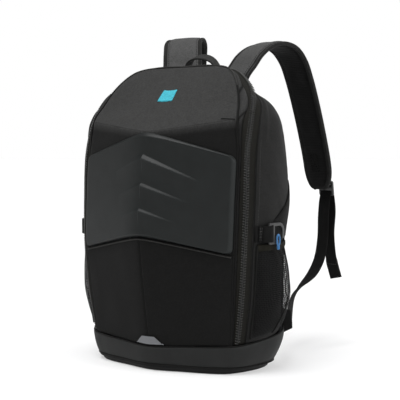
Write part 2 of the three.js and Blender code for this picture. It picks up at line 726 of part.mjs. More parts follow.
// The hook: a flat acetal frame with a webbing slot at its front end and an open hook at its rear end.
function hookGeometry() {
  const half = HOOK_HEIGHT / 2;
  const shape = new THREE.Shape();
  shape.moveTo(2, -half);
  shape.lineTo(HOOK_LENGTH - 15, -half);
  shape.lineTo(HOOK_LENGTH - 15, -half + 5);
  shape.lineTo(14, -half + 5);
  shape.lineTo(14, half - 5);
  shape.lineTo(HOOK_LENGTH - 5, half - 5);
  shape.lineTo(HOOK_LENGTH - 5, -half + 8);
  shape.lineTo(HOOK_LENGTH, -half + 8);
  shape.lineTo(HOOK_LENGTH, half - 4);
  shape.quadraticCurveTo(HOOK_LENGTH, half, HOOK_LENGTH - 4, half);
  shape.lineTo(2, half);
  shape.quadraticCurveTo(0, half, 0, half - 2);
  shape.lineTo(0, -half + 2);
  shape.quadraticCurveTo(0, -half, 2, -half);
  const slot = new THREE.Path();
  const slotHalf = half - 3;
  slot.moveTo(5, -slotHalf);
  slot.lineTo(5, slotHalf);
  slot.lineTo(8.6, slotHalf);
  slot.lineTo(8.6, -slotHalf);
  slot.closePath();
  shape.holes.push(slot);
  return plate(shape, HOOK_THICKNESS);
}

const HOOK_SECTION = 2.33;
const HOOK_V = 0.2;
const HOOK_END_V = 0.53;
const HOOK_OFF = 6; // distance of the hook's inner face from the wall
const LOOP_RADIUS = 6.2;
const LOOP_CORD = 1.5;
for (const [side, sign] of SIDES) {
  const start = offWall(HOOK_SECTION, HOOK_V, HOOK_OFF);
  const end = offWall(HOOK_SECTION, HOOK_END_V, HOOK_OFF);
  const frame = new THREE.Group();
  frame.position.set(sign * start.x, start.y, start.z);
  // Local X runs along the wall towards the back, local Z stands off the wall.
  const along = end.sub(start);
  along.z = 0;
  along.normalize();
  const alongSide = new THREE.Vector3(sign * along.x, along.y, 0);
  const off = new THREE.Vector3(sign * along.y, -along.x, 0);
  const up = new THREE.Vector3().crossVectors(off, alongSide);
  frame.quaternion.setFromRotationMatrix(new THREE.Matrix4().makeBasis(alongSide, up, off));
  bag.add(frame);
  // The frame is turned over on the left, so that its open side faces down on both sides.
  const hook = hookGeometry();
  if (up.z < 0) {
    hook.scale(1, -1, 1);
    const triangles = hook.attributes.position.count / 3;
    hook.setIndex(Array.from({ length: triangles * 3 }, (_, k) => triangles * 3 - 1 - k));
  }
  add(`side_hook_${side}`, 'acetal', hook, frame);
  const ring = new THREE.TorusGeometry(LOOP_RADIUS, LOOP_CORD, 6, 16);
  const loop = add(`pull_loop_${side}`, 'blue', ring, frame);
  loop.scale.set(0.6, 1.3, 1);
  const loopY = -Math.sign(up.z) * (HOOK_HEIGHT / 2 - 6);
  loop.position.set(HOOK_LENGTH / 2, loopY, HOOK_THICKNESS + GAP + LOOP_CORD);
}

// ================================================================ haul handle
const HANDLE_HALF = 32;
const HANDLE_BASE_Z = 447;
const HANDLE_RISE = 43;
const HANDLE_SHIFT = 5; // the loop stands a little right of the centre line
const HANDLE_SKEW = -9; // and its top hangs to the left
// Half of the handle: share of the half width, depth, and share of the rise.
const HANDLE_SIDE = [[1, 91, 0], [0.95, 90.4, 0.45], [0.7, 89.4, 0.82], [0.3, 88.6, 0.98]];
const handleHalf = (sign) => HANDLE_SIDE.map(([out, y, lift]) => new THREE.Vector3(
  HANDLE_SHIFT + sign * HANDLE_HALF * out + HANDLE_SKEW * lift,
  y,
  HANDLE_BASE_Z + HANDLE_RISE * lift,
));
const handlePath = new THREE.CatmullRomCurve3([...handleHalf(-1), ...handleHalf(1).reverse()]);
add('haul_handle', 'webbing', band(
  handlePath,
  () => new THREE.Vector3(0, 1, 0),
  (t) => [11 + 11 * Math.sin(Math.PI * t), 3.2],
  24,
));

// ================================================================ shoulder straps
// Points of a strap's loop: distance from the back along the loop's plane, and height.
const STRAP_LOW_Z = 446;
const STRAP_ROUTE = [
  [13, 446], [21, 459], [36, 475], [52, 493], [75, 508], [105, 515], [133, 509], [154, 490],
  [169, 461], [186, 416], [202, 366], [215, 318], [222, 280],
];
const PAD_STEPS = 36;
const STITCHED = [19, 35]; // steps of the pad between which webbing is stitched on it
const LOCK_TOP = [238, 284];
const LOCK_LEAN = 0.12; // lean of the ladder lock from the vertical, radians
const LOCK_HEIGHT = 26;
const LOCK_WIDTH = 33;
const LOCK_THICKNESS = 4;
// The lower webbing from the lock to the base: share of the way across, and height.
const LOWER_ROUTE = [
  [0, 222], [0.01, 182], [0.06, 148], [0.17, 124], [0.34, 108],
  [0.5, 98], [0.67, 87], [0.84, 76], [1, 70],
];
const LOWER_END_WIDTH_ALONG = new THREE.Vector3(-0.29, 0.1, 0.957); // it ends on edge, nearly upright
const TAIL_ROUTE = [[244, 262, 2], [246, 232, 4], [243, 190, 4], [244, 145, 6], [247, 112, 9]];
const TAIL_HEM = { from: 0.86, thickness: 4.2 }; // the end of the tail is folded over and sewn

function ladderLock() {
  const shape = roundedShape(LOCK_WIDTH, LOCK_HEIGHT, 3);
  for (const y of [-6.4, 2, 7.2]) {
    const slot = new THREE.Path();
    slot.moveTo(-13, y);
    slot.lineTo(-13, y + 2.6);
    slot.lineTo(13, y + 2.6);
    slot.lineTo(13, y);
    slot.closePath();
    shape.holes.push(slot);
  }
  const geometry = plate(shape, LOCK_THICKNESS);
  geometry.translate(0, -LOCK_HEIGHT / 2, -LOCK_THICKNESS / 2);
  return geometry;
}

for (const { side, heading, arch, bow } of STRAPS) {
  const own = (geometry) => (side === 'left' ? mirrored(geometry) : geometry);
  const strapPoint = (reach, z, shift = 0) => new THREE.Vector3(
    STRAP_ROOT.x + heading.x * reach + heading.y * shift,
    STRAP_ROOT.y + heading.y * reach - heading.x * shift,
    z,
  );
  const across = new THREE.Vector3(heading.y, -heading.x, 0).normalize();
  const raised = (z) => (z > STRAP_LOW_Z ? STRAP_LOW_Z + (z - STRAP_LOW_Z) * arch : z);
  const padPath = new THREE.CatmullRomCurve3(STRAP_ROUTE.map(([reach, z]) => strapPoint(reach, raised(z))));
  const padSection = (t) => {
    const ends = Math.min(1, 0.65 + 0.35 * Math.min(t / 0.03, (1 - t) / 0.05));
    return [THREE.MathUtils.lerp(STRAP_TOP_WIDTH, STRAP_END_WIDTH, t) * ends, STRAP_PAD, 3];
  };
  add(`shoulder_strap_${side}`, 'mesh', own(band(padPath, () => across, padSection, PAD_STEPS)));

  // Webbing stitched on the pad's outer face, away from the wearer, down to the ladder lock.
  const faceShift = STRAP_PAD / 2 + GAP + WEBBING_THICKNESS / 2;
  const facePoints = [];
  for (let k = STITCHED[0]; k <= STITCHED[1]; k += 1) {
    const t = k / PAD_STEPS;
    const out = new THREE.Vector3().crossVectors(across, padPath.getTangent(t)).normalize();
    facePoints.push(padPath.getPoint(t).addScaledVector(out, faceShift));
  }
  const facePath = new THREE.CatmullRomCurve3(facePoints);
  add(`strap_webbing_${side}`, 'webbing', own(band(
    facePath,
    () => across,
    () => [WEBBING, WEBBING_THICKNESS],
    facePoints.length - 1,
  )));

  const lockTop = strapPoint(...LOCK_TOP);
  const holder = new THREE.Group();
  const sign = side === 'left' ? -1 : 1;
  holder.position.set(sign * lockTop.x, lockTop.y, lockTop.z);
  holder.rotation.z = sign * Math.atan2(-heading.x, heading.y);
  bag.add(holder);
  const lock = add(`ladder_lock_${side}`, 'acetal', ladderLock(), holder);
  lock.rotation.x = Math.PI / 2 + LOCK_LEAN;

  const start = strapPoint(230, 0, 2);
  const inwardBow = (share) => -bow * Math.sin(Math.PI * share);
  const lowerPath = new THREE.CatmullRomCurve3([
    strapPoint(234, 252, 1),
    ...LOWER_ROUTE.map(([share, z]) => new THREE.Vector3(
      THREE.MathUtils.lerp(start.x, ANCHOR.x, share) + inwardBow(share),
      THREE.MathUtils.lerp(start.y, ANCHOR.y + 7, share),
      z,
    )),
  ]);
  add(`lower_webbing_${side}`, 'webbing', own(band(
    lowerPath,
    (t) => mix(across, LOWER_END_WIDTH_ALONG, THREE.MathUtils.smoothstep(t, 0.3, 0.85)).normalize(),
    () => [WEBBING, WEBBING_THICKNESS],
    36,
  )));

  // Free tail of the webbing, hanging behind the lower webbing from the lock.
  const tailPath = new THREE.CatmullRomCurve3(TAIL_ROUTE.map((place) => strapPoint(...place)));
  add(`strap_tail_${side}`, 'webbing', own(band(
    tailPath,
    () => across,
    (t) => [WEBBING, t > TAIL_HEM.from ? TAIL_HEM.thickness : WEBBING_THICKNESS],
    22,
  )));
}

// Triangular fabric tab in the lower back corner that takes the webbing.
addPair('strap_anchor', 'webbing', skin([
  [[138, 92.2, 46], [138, 92.2, 88], [139, 95.6, 88], [139, 95.6, 46]].map(vector),
  [[152, 93.5, 54], [148, 93.5, 84], [148, 96.5, 84], [152, 96.5, 54]].map(vector),
  [[155, 98, 55.5], [148, 98, 82], [146, 100.5, 82], [153, 100.5, 55.5]].map(vector),
]));

export default bag;
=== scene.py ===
"""Backpack-style carrying case for a camera drone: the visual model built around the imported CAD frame.

Shapes are worked out in millimetres in the CAD's frame (+Z up, +Y towards the wearer) and made in metres.
"""
import math

import bpy
import numpy as np
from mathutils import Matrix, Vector


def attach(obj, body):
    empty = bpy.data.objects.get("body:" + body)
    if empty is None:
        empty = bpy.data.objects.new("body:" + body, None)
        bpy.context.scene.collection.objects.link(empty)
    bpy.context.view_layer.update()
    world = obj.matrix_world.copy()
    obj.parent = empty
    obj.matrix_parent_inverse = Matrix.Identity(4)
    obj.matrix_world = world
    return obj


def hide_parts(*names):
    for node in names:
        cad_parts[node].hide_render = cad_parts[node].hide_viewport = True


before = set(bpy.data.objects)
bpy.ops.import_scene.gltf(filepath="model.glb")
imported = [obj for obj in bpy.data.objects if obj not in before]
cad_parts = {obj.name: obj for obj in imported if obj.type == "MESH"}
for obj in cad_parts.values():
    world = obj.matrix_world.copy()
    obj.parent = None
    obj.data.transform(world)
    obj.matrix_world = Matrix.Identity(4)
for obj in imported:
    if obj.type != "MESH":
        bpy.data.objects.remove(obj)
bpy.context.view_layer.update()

MM = 0.001

# ---------------------------------------------------------------- camera
FOCAL_LENGTH = 94.5  # mm on a 36 mm wide sensor
CAMERA_AT = (0.9236, -1.3670, 0.3331)
CAMERA_AIM = (0.0519, 0.0, 0.2608)

camera_data = bpy.data.cameras.new("camera")
camera_data.lens = FOCAL_LENGTH
camera_data.sensor_width = 36
camera_data.clip_end = 50
camera = bpy.data.objects.new("camera", camera_data)
camera.location = CAMERA_AT
camera.rotation_euler = (Vector(CAMERA_AIM) - Vector(CAMERA_AT)).to_track_quat("-Z", "Y").to_euler()
bpy.context.scene.collection.objects.link(camera)
bpy.context.scene.camera = camera


# ---------------------------------------------------------------- materials
class Shader:
    """A Principled material with short ways to add procedural nodes."""

    def __init__(self, name, roughness, sheen=0.0, metallic=0.0, specular=0.5):
        self.material = bpy.data.materials.new(name)
        self.material.use_nodes = True
        self.tree = self.material.node_tree
        self.bsdf = self.tree.nodes["Principled BSDF"]
        self.bsdf.inputs["Roughness"].default_value = roughness
        self.bsdf.inputs["Metallic"].default_value = metallic
        self.bsdf.inputs["Specular IOR Level"].default_value = specular
        self.bsdf.inputs["Sheen Weight"].default_value = sheen
        self.bsdf.inputs["Sheen Roughness"].default_value = 0.5
        self.normal = None

    def node(self, kind, **settings):
        node = self.tree.nodes.new(kind)
        for key, value in settings.items():
            setattr(node, key, value)
        return node

    def link(self, source, target):
        self.tree.links.new(source, target)

    def coordinates(self, kind="Object"):
        return self.node("ShaderNodeTexCoord").outputs[kind]

    def axes(self, kind="Object"):
        split = self.node("ShaderNodeSeparateXYZ")
        self.link(self.coordinates(kind), split.inputs[0])
        return split.outputs

    def math(self, operation, a, b=None):
        node = self.node("ShaderNodeMath", operation=operation)
        for socket, value in zip(node.inputs, (a, b)):
            if isinstance(value, (int, float)):
                socket.default_value = value
            elif value is not None:
                self.link(value, socket)
        return node.outputs[0]

    def wave(self, value, pitch):
        """Sine of a length in metres that repeats every pitch millimetres."""
        return self.math("SINE", self.math("MULTIPLY", value, 2 * math.pi / (pitch * MM)))

    def noise(self, size, detail=3.0, kind="Object", stretch=(1, 1, 1)):
        """Noise with features of about size millimetres."""
        noise = self.node("ShaderNodeTexNoise")
        noise.inputs["Scale"].default_value = 1 / (size * MM)
        noise.inputs["Detail"].default_value = detail
        mapping = self.node("ShaderNodeMapping")
        mapping.inputs["Scale"].default_value = stretch
        self.link(self.coordinates(kind), mapping.inputs["Vector"])
        self.link(mapping.outputs[0], noise.inputs["Vector"])
        return noise.outputs["Fac"]

    def ramp(self, factor, low, high, start=0.0, end=1.0):
        """Colour that goes from low to high as factor goes from start to end."""
        ramp = self.node("ShaderNodeValToRGB")
        ramp.color_ramp.elements[0].position = start
        ramp.color_ramp.elements[1].position = end
        ramp.color_ramp.elements[0].color = (*low, 1)
        ramp.color_ramp.elements[1].color = (*high, 1)
        self.link(factor, ramp.inputs[0])
        return ramp.outputs[0]

    def blend(self, factor, a, b, kind="MIX"):
        mix = self.node("ShaderNodeMix", data_type="RGBA", blend_type=kind)
        if isinstance(factor, (int, float)):
            mix.inputs[0].default_value = factor
        else:
            self.link(factor, mix.inputs[0])
        for socket, value in ((mix.inputs[6], a), (mix.inputs[7], b)):
            if isinstance(value, tuple):
                socket.default_value = (*value, 1)
            else:
                self.link(value, socket)
        return mix.outputs[2]

    def half(self, value, scale=0.5):
        """A value of -1 to 1 turned into a height of 0 to 1."""
        height = self.math("MULTIPLY_ADD", value, scale)
        height.node.inputs[2].default_value = 0.5
        return height

    def crossed(self, a, b, pitch):
        """Two waves multiplied, and the first of them."""
        one = self.wave(a, pitch)
        return self.math("MULTIPLY", one, self.wave(b, pitch)), one

    def mottle(self, size, detail, low, high):
        """Soft patches between two colours."""
        return self.ramp(self.noise(size, detail), low, high, 0.3, 0.7)

    def bump(self, height, depth, strength=1.0):
        """Adds relief: depth is in millimetres for a height of 0 to 1."""
        bump = self.node("ShaderNodeBump")
        bump.inputs["Strength"].default_value = strength
        bump.inputs["Distance"].default_value = depth * MM
        self.link(height, bump.inputs["Height"])
        if self.normal is not None:
            self.link(self.normal, bump.inputs["Normal"])
        self.normal = bump.outputs[0]
        self.link(self.normal, self.bsdf.inputs["Normal"])

    def edges(self, low=0.505, high=0.56):
        """0 on flat ground and 1 on sharp outer edges."""
        point = self.node("ShaderNodeNewGeometry").outputs["Pointiness"]
        span = self.node("ShaderNodeMapRange")
        span.inputs["From Min"].default_value = low
        span.inputs["From Max"].default_value = high
        self.link(point, span.inputs["Value"])
        return span.outputs[0]

    def attribute(self, name):
        return self.node("ShaderNodeAttribute", attribute_name=name).outputs["Fac"]

    def colour(self, socket):
        self.link(socket, self.bsdf.inputs["Base Color"])


def tint(colour, factor):
    return tuple(min(1.0, c * factor) for c in colour)


def shades(colour, dark, light):
    return tint(colour, dark), tint(colour, light)


def grey(level):
    return (level, level, level)


def woven(name, colour, pitch=1.3, depth=0.22, roughness=0.88, sheen=0.03, shade_colour=None):
    """Plain woven polyester. An optional second, darker colour is painted shade: the cloth fades to it as the
    mesh attribute for painted shade rises.
    """
    s = Shader(name, roughness, sheen, specular=0.12)
    x, y, z = s.axes()
    across = s.math("ADD", x, s.math("MULTIPLY", y, 0.83))
    height = s.half(s.crossed(across, z, pitch)[0])
    patches = s.mottle(9, 5, *shades(colour, 0.93, 1.08))
    if shade_colour is not None:
        # painted shade: fade the cloth towards the darker shade colour
        patches = s.blend(s.attribute("painted_shade"), patches, s.mottle(9, 5, *shades(shade_colour, 0.93, 1.08)))
    patches = s.blend(1.0, patches, s.mottle(2.4, 2, grey(0.82), grey(1.18)), "MULTIPLY")
    s.colour(s.blend(0.8, patches, s.ramp(height, grey(0.72), grey(1.18)), "MULTIPLY"))
    s.bump(height, depth, 0.7)
    s.bump(s.noise(2.2, 4), 0.25, 0.35)
    return s.material


def webbing(name, colour, pitch=1.6):
    """Ribbed nylon webbing. The ribs run across the band, from its UV map."""
    s = Shader(name, 0.82, 0.0, specular=0.08)
    u, v, _ = s.axes("UV")
    slanted = s.math("ADD", u, s.math("MULTIPLY", v, 0.5))
    height = s.half(s.math("MULTIPLY", s.wave(v, pitch), s.wave(slanted, pitch * 1.7)))
    base = s.mottle(12, 4, *shades(colour, 0.85, 1.2))
    s.colour(s.blend(0.8, base, s.ramp(height, grey(0.65), grey(1.2)), "MULTIPLY"))
    s.bump(height, 0.35, 0.8)
    return s.material


def spacer_mesh(name, colour, pitch=3.4):
    """Knitted spacer mesh on foam: small round dimples in staggered rows."""
    s = Shader(name, 0.9, 0.03, specular=0.1)
    x, y, z = s.axes()
    across = s.math("ADD", x, s.math("MULTIPLY", y, 0.7))
    rise = s.math("MULTIPLY", z, 0.6)
    height = s.half(s.crossed(s.math("ADD", across, rise), s.math("SUBTRACT", across, rise), pitch)[0])
    base = s.mottle(14, 4, *shades(colour, 0.85, 1.2))
    s.colour(s.blend(0.9, base, s.ramp(height, grey(0.4), grey(1.25), 0.1, 0.55), "MULTIPLY"))
    s.bump(height, 0.6, 0.8)
    return s.material


NET_OPENING = 0.08  # the lower, the larger the holes


def open_mesh(name, colour, pitch=3.0):
    """Net with diamond holes, from its UV map."""
    s = Shader(name, 0.85, 0.03, specular=0.12)
    u, v, _ = s.axes("UV")
    across, up = s.math("MULTIPLY", u, 0.55), s.math("MULTIPLY", v, 0.5)
    weave, one = s.crossed(s.math("ADD", across, up), s.math("SUBTRACT", across, up), pitch)
    s.link(s.math("LESS_THAN", weave, NET_OPENING), s.bsdf.inputs["Alpha"])
    twill = s.ramp(one, grey(0.45), grey(1.5), 0.0, 0.9)
    s.colour(s.blend(1.0, s.mottle(10, 3, *shades(colour, 0.8, 1.3)), twill, "MULTIPLY"))
    s.bump(s.half(weave, -0.5), 0.4, 0.8)
    return s.material


def moulded(name, colour, roughness, grain, depth, edge_tint=1.8, specular=0.5):
    """Moulded foam skin, coated fabric or plastic: fine grain, soft mottling and paler sharp edges."""
    s = Shader(name, roughness, specular=specular)
    base = s.mottle(22, 5, *shades(colour, 0.88, 1.12))
    s.colour(s.blend(s.edges(), base, tint(colour, edge_tint)))
    s.bump(s.noise(grain, 4), depth, 0.6)
    rough = s.node("ShaderNodeMapRange")
    rough.inputs["To Min"].default_value = roughness - 0.07
    rough.inputs["To Max"].default_value = roughness + 0.09
    s.link(s.noise(30, 5), rough.inputs["Value"])
    s.link(rough.outputs[0], s.bsdf.inputs["Roughness"])
    return s.material


def metal(name, colour, roughness):
    s = Shader(name, roughness, metallic=0.9)
    base = s.ramp(s.noise(3, 5, stretch=(1, 1, 6)), tint(colour, 0.8), tint(colour, 1.15), 0.3, 0.7)
    s.colour(s.blend(s.edges(), base, tint(colour, 2.2)))
    s.bump(s.noise(0.8, 3), 0.05, 0.5)
    return s.material


def braided(name, colour, pitch=1.8):
    """Braided cord, with its strands crossing around the tube."""
    s = Shader(name, 0.65, 0.2, specular=0.35)
    u, v, _ = s.axes("UV")
    height = s.half(s.crossed(s.math("ADD", u, v), s.math("SUBTRACT", u, v), pitch)[0])
    s.colour(s.ramp(height, *shades(colour, 0.55, 1.3)))
    s.bump(height, 0.4, 0.8)
    return s.material


CHARCOAL = (0.036, 0.036, 0.0355)
BLACK = (0.0070, 0.0070, 0.0068)
M = {
    # charcoal cloth whose second colour, BLACK, is painted shade for folds facing down and for creases
    "upper": woven("charcoal_weave_painted_shade", CHARCOAL, shade_colour=BLACK),
    "charcoal": woven("shoulder_weave", (0.030, 0.0297, 0.0285)),
    "side": woven("side_weave", (0.0165, 0.0165, 0.0162)),
    "black": woven("black_weave", BLACK),
    "strap_face": woven("strap_face_weave", (0.066, 0.066, 0.0655)),
    "eva": moulded("moulded_eva_skin", (0.0098, 0.0113, 0.0112), 0.48, 0.9, 0.05, 2.6, 0.2),
    "boot": moulded("coated_boot", (0.0125, 0.0130, 0.0128), 0.62, 1.4, 0.12, 1.5, 0.22),
    "under": moulded("coated_floor", (0.0055, 0.0055, 0.0055), 0.66, 1.4, 0.12, 1.5, 0.15),
    "reflective": moulded("reflective_film", (0.13, 0.135, 0.145), 0.42, 0.7, 0.06, 1.3, 0.6),
    "tape": woven("zip_tape_weave", (0.0088, 0.0085, 0.0068), pitch=1.0, depth=0.12, roughness=0.75),
    "coil": moulded("zip_coil_nylon", (0.0260, 0.0260, 0.0250), 0.42, 0.8, 0.03, 1.8, 0.42),
    "webbing": webbing("black_webbing", (0.0074, 0.0074, 0.0073)),
    "grip": webbing("handle_webbing_weave", (0.031, 0.031, 0.030)),
    "hem": webbing("hem_binding", (0.0130, 0.0122, 0.0090), 1.2),
    "binding": webbing("edge_binding", (0.0115, 0.0115, 0.011), 1.2),
    "welt": woven("welt_fabric", (0.0065, 0.0065, 0.0062), pitch=0.9, depth=0.1),
    "strap_edge": webbing("strap_edge_binding", (0.019, 0.019, 0.0185), 1.2),
    "thread": braided("black_thread", (0.02, 0.02, 0.019), 0.9),
    "mesh": open_mesh("pocket_net", (0.0060, 0.0060, 0.0060)),
    "pad": spacer_mesh("spacer_mesh", (0.0062, 0.0062, 0.0062)),
    "back_pad": spacer_mesh("back_spacer_mesh", (0.015, 0.015, 0.015), 4.2),
    "acetal": moulded("moulded_acetal", (0.020, 0.020, 0.020), 0.34, 1.1, 0.03, 1.9),
    "zinc": metal("gunmetal", (0.10, 0.10, 0.105), 0.34),
    "blue": braided("blue_cord", (0.035, 0.17, 0.40)),
    "lining": woven("brushed_lining", (0.050, 0.053, 0.060), pitch=0.9, roughness=0.95, sheen=0.4),
    "cyan": woven("cyan_tab_weave", (0.06, 0.42, 0.52), pitch=0.9),
}


# ---------------------------------------------------------------- curves and surfaces of the case
GAP = 0.4
SECTION_COUNT = 10
SECTIONS = {
    "front": [
        (125.5, -31, 45), (131, -38, 112), (136, -42, 185), (137.5, -39, 264), (137.7, -33.5, 332),
        (133.8, -28, 383.4), (126, -11, 410), (111, 7, 441), (88, 24, 463), (50, 33, 470), (0, 34, 470),
    ],
    "zip": [
        (133, -23.5, 46.3), (142.5, -28, 112), (149, -31, 188), (150.5, -28.5, 264), (150, -24, 335),
        (148.5, -11, 380), (143, 6, 412), (127, 24, 436), (95, 38, 459), (52, 48, 466), (0, 48, 466),
    ],
    "wall": [
        (141, -15.5, 47.6), (152, -19.5, 112), (158, -22, 188), (160, -20, 264), (160, -15, 335),
        (157, -1, 381), (149, 16, 408), (122, 35, 432), (94, 49, 453), (54, 58, 464), (0, 59, 465),
    ],
    "wide": [
        (163, 40, 56.8), (163, 40, 115), (165, 40, 190), (177.5, 40, 264), (174, 40, 335),
        (169, 40, 384), (154, 44, 406), (113, 58, 428), (86, 68, 445), (48, 73, 457), (0, 74, 459),
    ],
    "back": [
        (147, 86, 64.4), (149, 86, 118), (151, 86, 190), (157, 86, 264), (153.5, 86, 335),
        (143, 86, 384), (126, 86, 406), (102, 86, 424), (72, 86, 435), (38, 86, 440), (0, 86, 441),
    ],
}
MIDDLE = np.array([0.0, 25.0, 240.0])
WIDEST_V = 0.56


def matched(*arrays):
    """The arrays, stretched to one common shape."""
    return np.broadcast_arrays(*[np.asarray(a, float) for a in arrays])


def catmull(points, closed=False):
    """Centripetal Catmull-Rom curve through points, as a function of 0..1."""
    p = np.asarray(points, float)
    if closed:
        ends = np.vstack([p[-1], p, p[0], p[1]])
        spans = len(p)
    else:
        ends = np.vstack([2 * p[0] - p[1], p, 2 * p[-1] - p[-2]])
        spans = len(p) - 1

    def at(t):
        t = np.clip(np.asarray(t, float), 0, 1) * spans
        k = np.minimum(t.astype(int), spans - 1)
        w = (t - k)[..., None]
        a, b, c, d = ends[k], ends[k + 1], ends[k + 2], ends[k + 3]
        ab, bc, cd = [np.sqrt(np.linalg.norm(q - r, axis=-1) + 1e-9)[..., None]
                      for q, r in ((a, b), (b, c), (c, d))]
        start = ((b - a) / ab - (c - a) / (ab + bc) + (c - b) / bc) * bc
        end = ((c - b) / bc - (d - b) / (bc + cd) + (d - c) / cd) * bc
        return b + start * w + (3 * (c - b) - 2 * start - end) * w**2 + (2 * (b - c) + start + end) * w**3

    return at


def running_line(right):
    """A line over the case, from the base seam on the right to its mirror image on the left."""
    right = np.asarray(right, float)
    left = right[:-1][::-1] * (-1, 1, 1)
    return catmull(np.vstack([right, left]))


CURVES = {name: running_line(points) for name, points in SECTIONS.items()}
ZIP_STRAIGHT = (9, 11)


def line(name, section):
    """Point of a running line at a section, 0 at the right base seam and 20 at the left one."""
    section = np.asarray(section, float)
    point = CURVES[name](section / (2 * SECTION_COUNT))
    if name == "zip":
        low, high = ZIP_STRAIGHT
        share = np.clip((section - low) / (high - low), 0, 1)[..., None]
        ends = [CURVES[name](np.array(s / (2 * SECTION_COUNT))) for s in ZIP_STRAIGHT]
        straight = ends[0] * (1 - share) + ends[1] * share
        inside = ((section > low) & (section < high))[..., None]
        point = np.where(inside, straight, point)
    return point


def wall(section, v):
    """The body's side or top, from the zip (v = 0) over its widest line to the back seam (v = 1)."""
    section, v = matched(section, v)
    a, b, c = line("wall", section), line("wide", section), line("back", section)
    v = v[..., None]
    w = WIDEST_V
    return a * ((v - w) * (v - 1) / w) + b * (v * (v - 1) / (w * (w - 1))) + c * (v * (v - w) / (1 - w))


def unit(vectors):
    return vectors / (np.linalg.norm(vectors, axis=-1, keepdims=True) + 1e-12)


def outward(surface, u, v, step=0.002):
    """Unit normals of a surface, pointing away from the middle of the case."""
    along_u = surface(u + step, v) - surface(u - step, v)
    along_v = surface(u, v + step) - surface(u, v - step)
    normal = unit(np.cross(along_u, along_v))
    facing = np.sum(normal * (surface(u, v) - MIDDLE), axis=-1, keepdims=True)
    return normal * np.where(facing < 0, -1, 1)


def off_wall(section, v, distance):
    """Points that stand a distance off the body's side or top."""
    section, v = matched(section, v)
    normal = outward(wall, section, np.clip(v, 0.01, 0.99))
    return wall(section, v) + normal * np.asarray(distance)[..., None]


def hermite(pairs):
    """Smooth curve through (z, value) pairs."""
    zs, vs = np.array(pairs, float).T
    slopes = np.array([
        (vs[min(i + 1, len(vs) - 1)] - vs[max(i - 1, 0)]) / (zs[min(i + 1, len(zs) - 1)] - zs[max(i - 1, 0)])
        for i in range(len(zs))
    ])

    def at(z):
        z = np.asarray(z, float)
        i = np.clip(np.searchsorted(zs, z) - 1, 0, len(zs) - 2)
        h = zs[i + 1] - zs[i]
        t = (z - zs[i]) / h
        return (vs[i] * (1 + 2 * t) * (1 - t) ** 2 + h * slopes[i] * t * (1 - t) ** 2
                + vs[i + 1] * t * t * (3 - 2 * t) + h * slopes[i + 1] * t * t * (t - 1))

    return at


CREASE_SECTION = 5
centre_y = hermite([(39, -64), (125, -79), (207, -88.5), (290, -79), (366, -69), (390, -66)])
edge_x = hermite([(z, x) for x, _, z in SECTIONS["front"][:CREASE_SECTION + 1]])
edge_y = hermite([(z, y) for _, y, z in SECTIONS["front"][:CREASE_SECTION + 1]])
CREASE = (366.0, 383.0)  # heights at the centre and at the edge
RIDGE = (34.0, 470.0)  # depth and height of the lid's top edge at the centre
EVA_TOP = (364.0, 327.0)
EVA_BOTTOM = (208.0, 183.0)
EVA_SEAM = (206.5, 181.5)
FRONT_SEAM = (39.4, 45.0)
SOFT = 0.12


def fold(s):
    """0 at the centre crease and 1 at both edges, straight but for a soft middle."""
    return (np.hypot(s, SOFT) - SOFT) / (math.hypot(1, SOFT) - SOFT)


def between(pair, s):
    """A height that runs from its value at the centre to its value at the edge."""
    return pair[0] + (pair[1] - pair[0]) * fold(s)


def front(s, z):
    """The lid's front below the crease: s is -1 at the left edge and 1 at the right edge."""
    s, z = matched(s, z)
    f = fold(s)
    return np.stack([s * edge_x(z), centre_y(z) * (1 - f) + edge_y(z) * f, z], axis=-1)


EDGE_STOP = 8.75


def upper(s, q):
    """The lid's upper panel, from the crease (q = 0) back to the ridge (q = 1)."""
    s, q = matched(s, q)
    f = fold(s)[..., None]
    w = q[..., None]
    edge = line("front", CREASE_SECTION + (EDGE_STOP - CREASE_SECTION) * q)
    start = front(s, between(CREASE, s))
    low = np.array([0, centre_y(CREASE[0]), CREASE[0]])
    high = np.array([0, *RIDGE])
    point = (low * (1 - w) + high * w) * (1 - f) + edge * f
    point[..., 0] = s * edge[..., 0]
    base = low * (1 - f) + line("front", np.full(s.shape, float(CREASE_SECTION))) * f
    base[..., 0] = start[..., 0]
    return point + (start - base) * (1 - w)


# ---------------------------------------------------------------- mesh helpers
def ripple(points, size, seed, count=7):
    """Smooth wandering values of about -1 to 1 with features of size millimetres, the same every run."""
    rng = np.random.default_rng(seed)
    total = np.zeros(points.shape[:-1])
    for _ in range(count):
        direction = unit(rng.normal(size=3)) * (2 * math.pi / (size * rng.uniform(0.7, 1.6)))
        total += np.sin(points @ direction + rng.uniform(0, 2 * math.pi))
    return total / math.sqrt(count)


def arc_lengths(points, axis):
    steps = np.linalg.norm(np.diff(points, axis=axis), axis=-1)
    total = np.cumsum(steps, axis=axis)
    start = np.zeros_like(np.take(total, [0], axis=axis))
    return np.concatenate([start, total], axis=axis)


def border_distance(points, sides="lrtb"):
    """Distance in millimetres of each grid point to the nearest of the named borders."""
    along = arc_lengths(points, 1)
    up = arc_lengths(points, 0)
    choices = {
        "l": along, "r": along[:, -1:] - along,
        "b": up, "t": up[-1:, :] - up,
    }
    return np.min([choices[side] for side in sides], axis=0)


def quarter(distance, width):
    """1 at a border, falling to 0 at width millimetres from it along a quarter circle."""
    share = 1 - np.clip(distance / width, 0, 1)
    return 1 - np.sqrt(np.clip(1 - share**2, 0, 1))


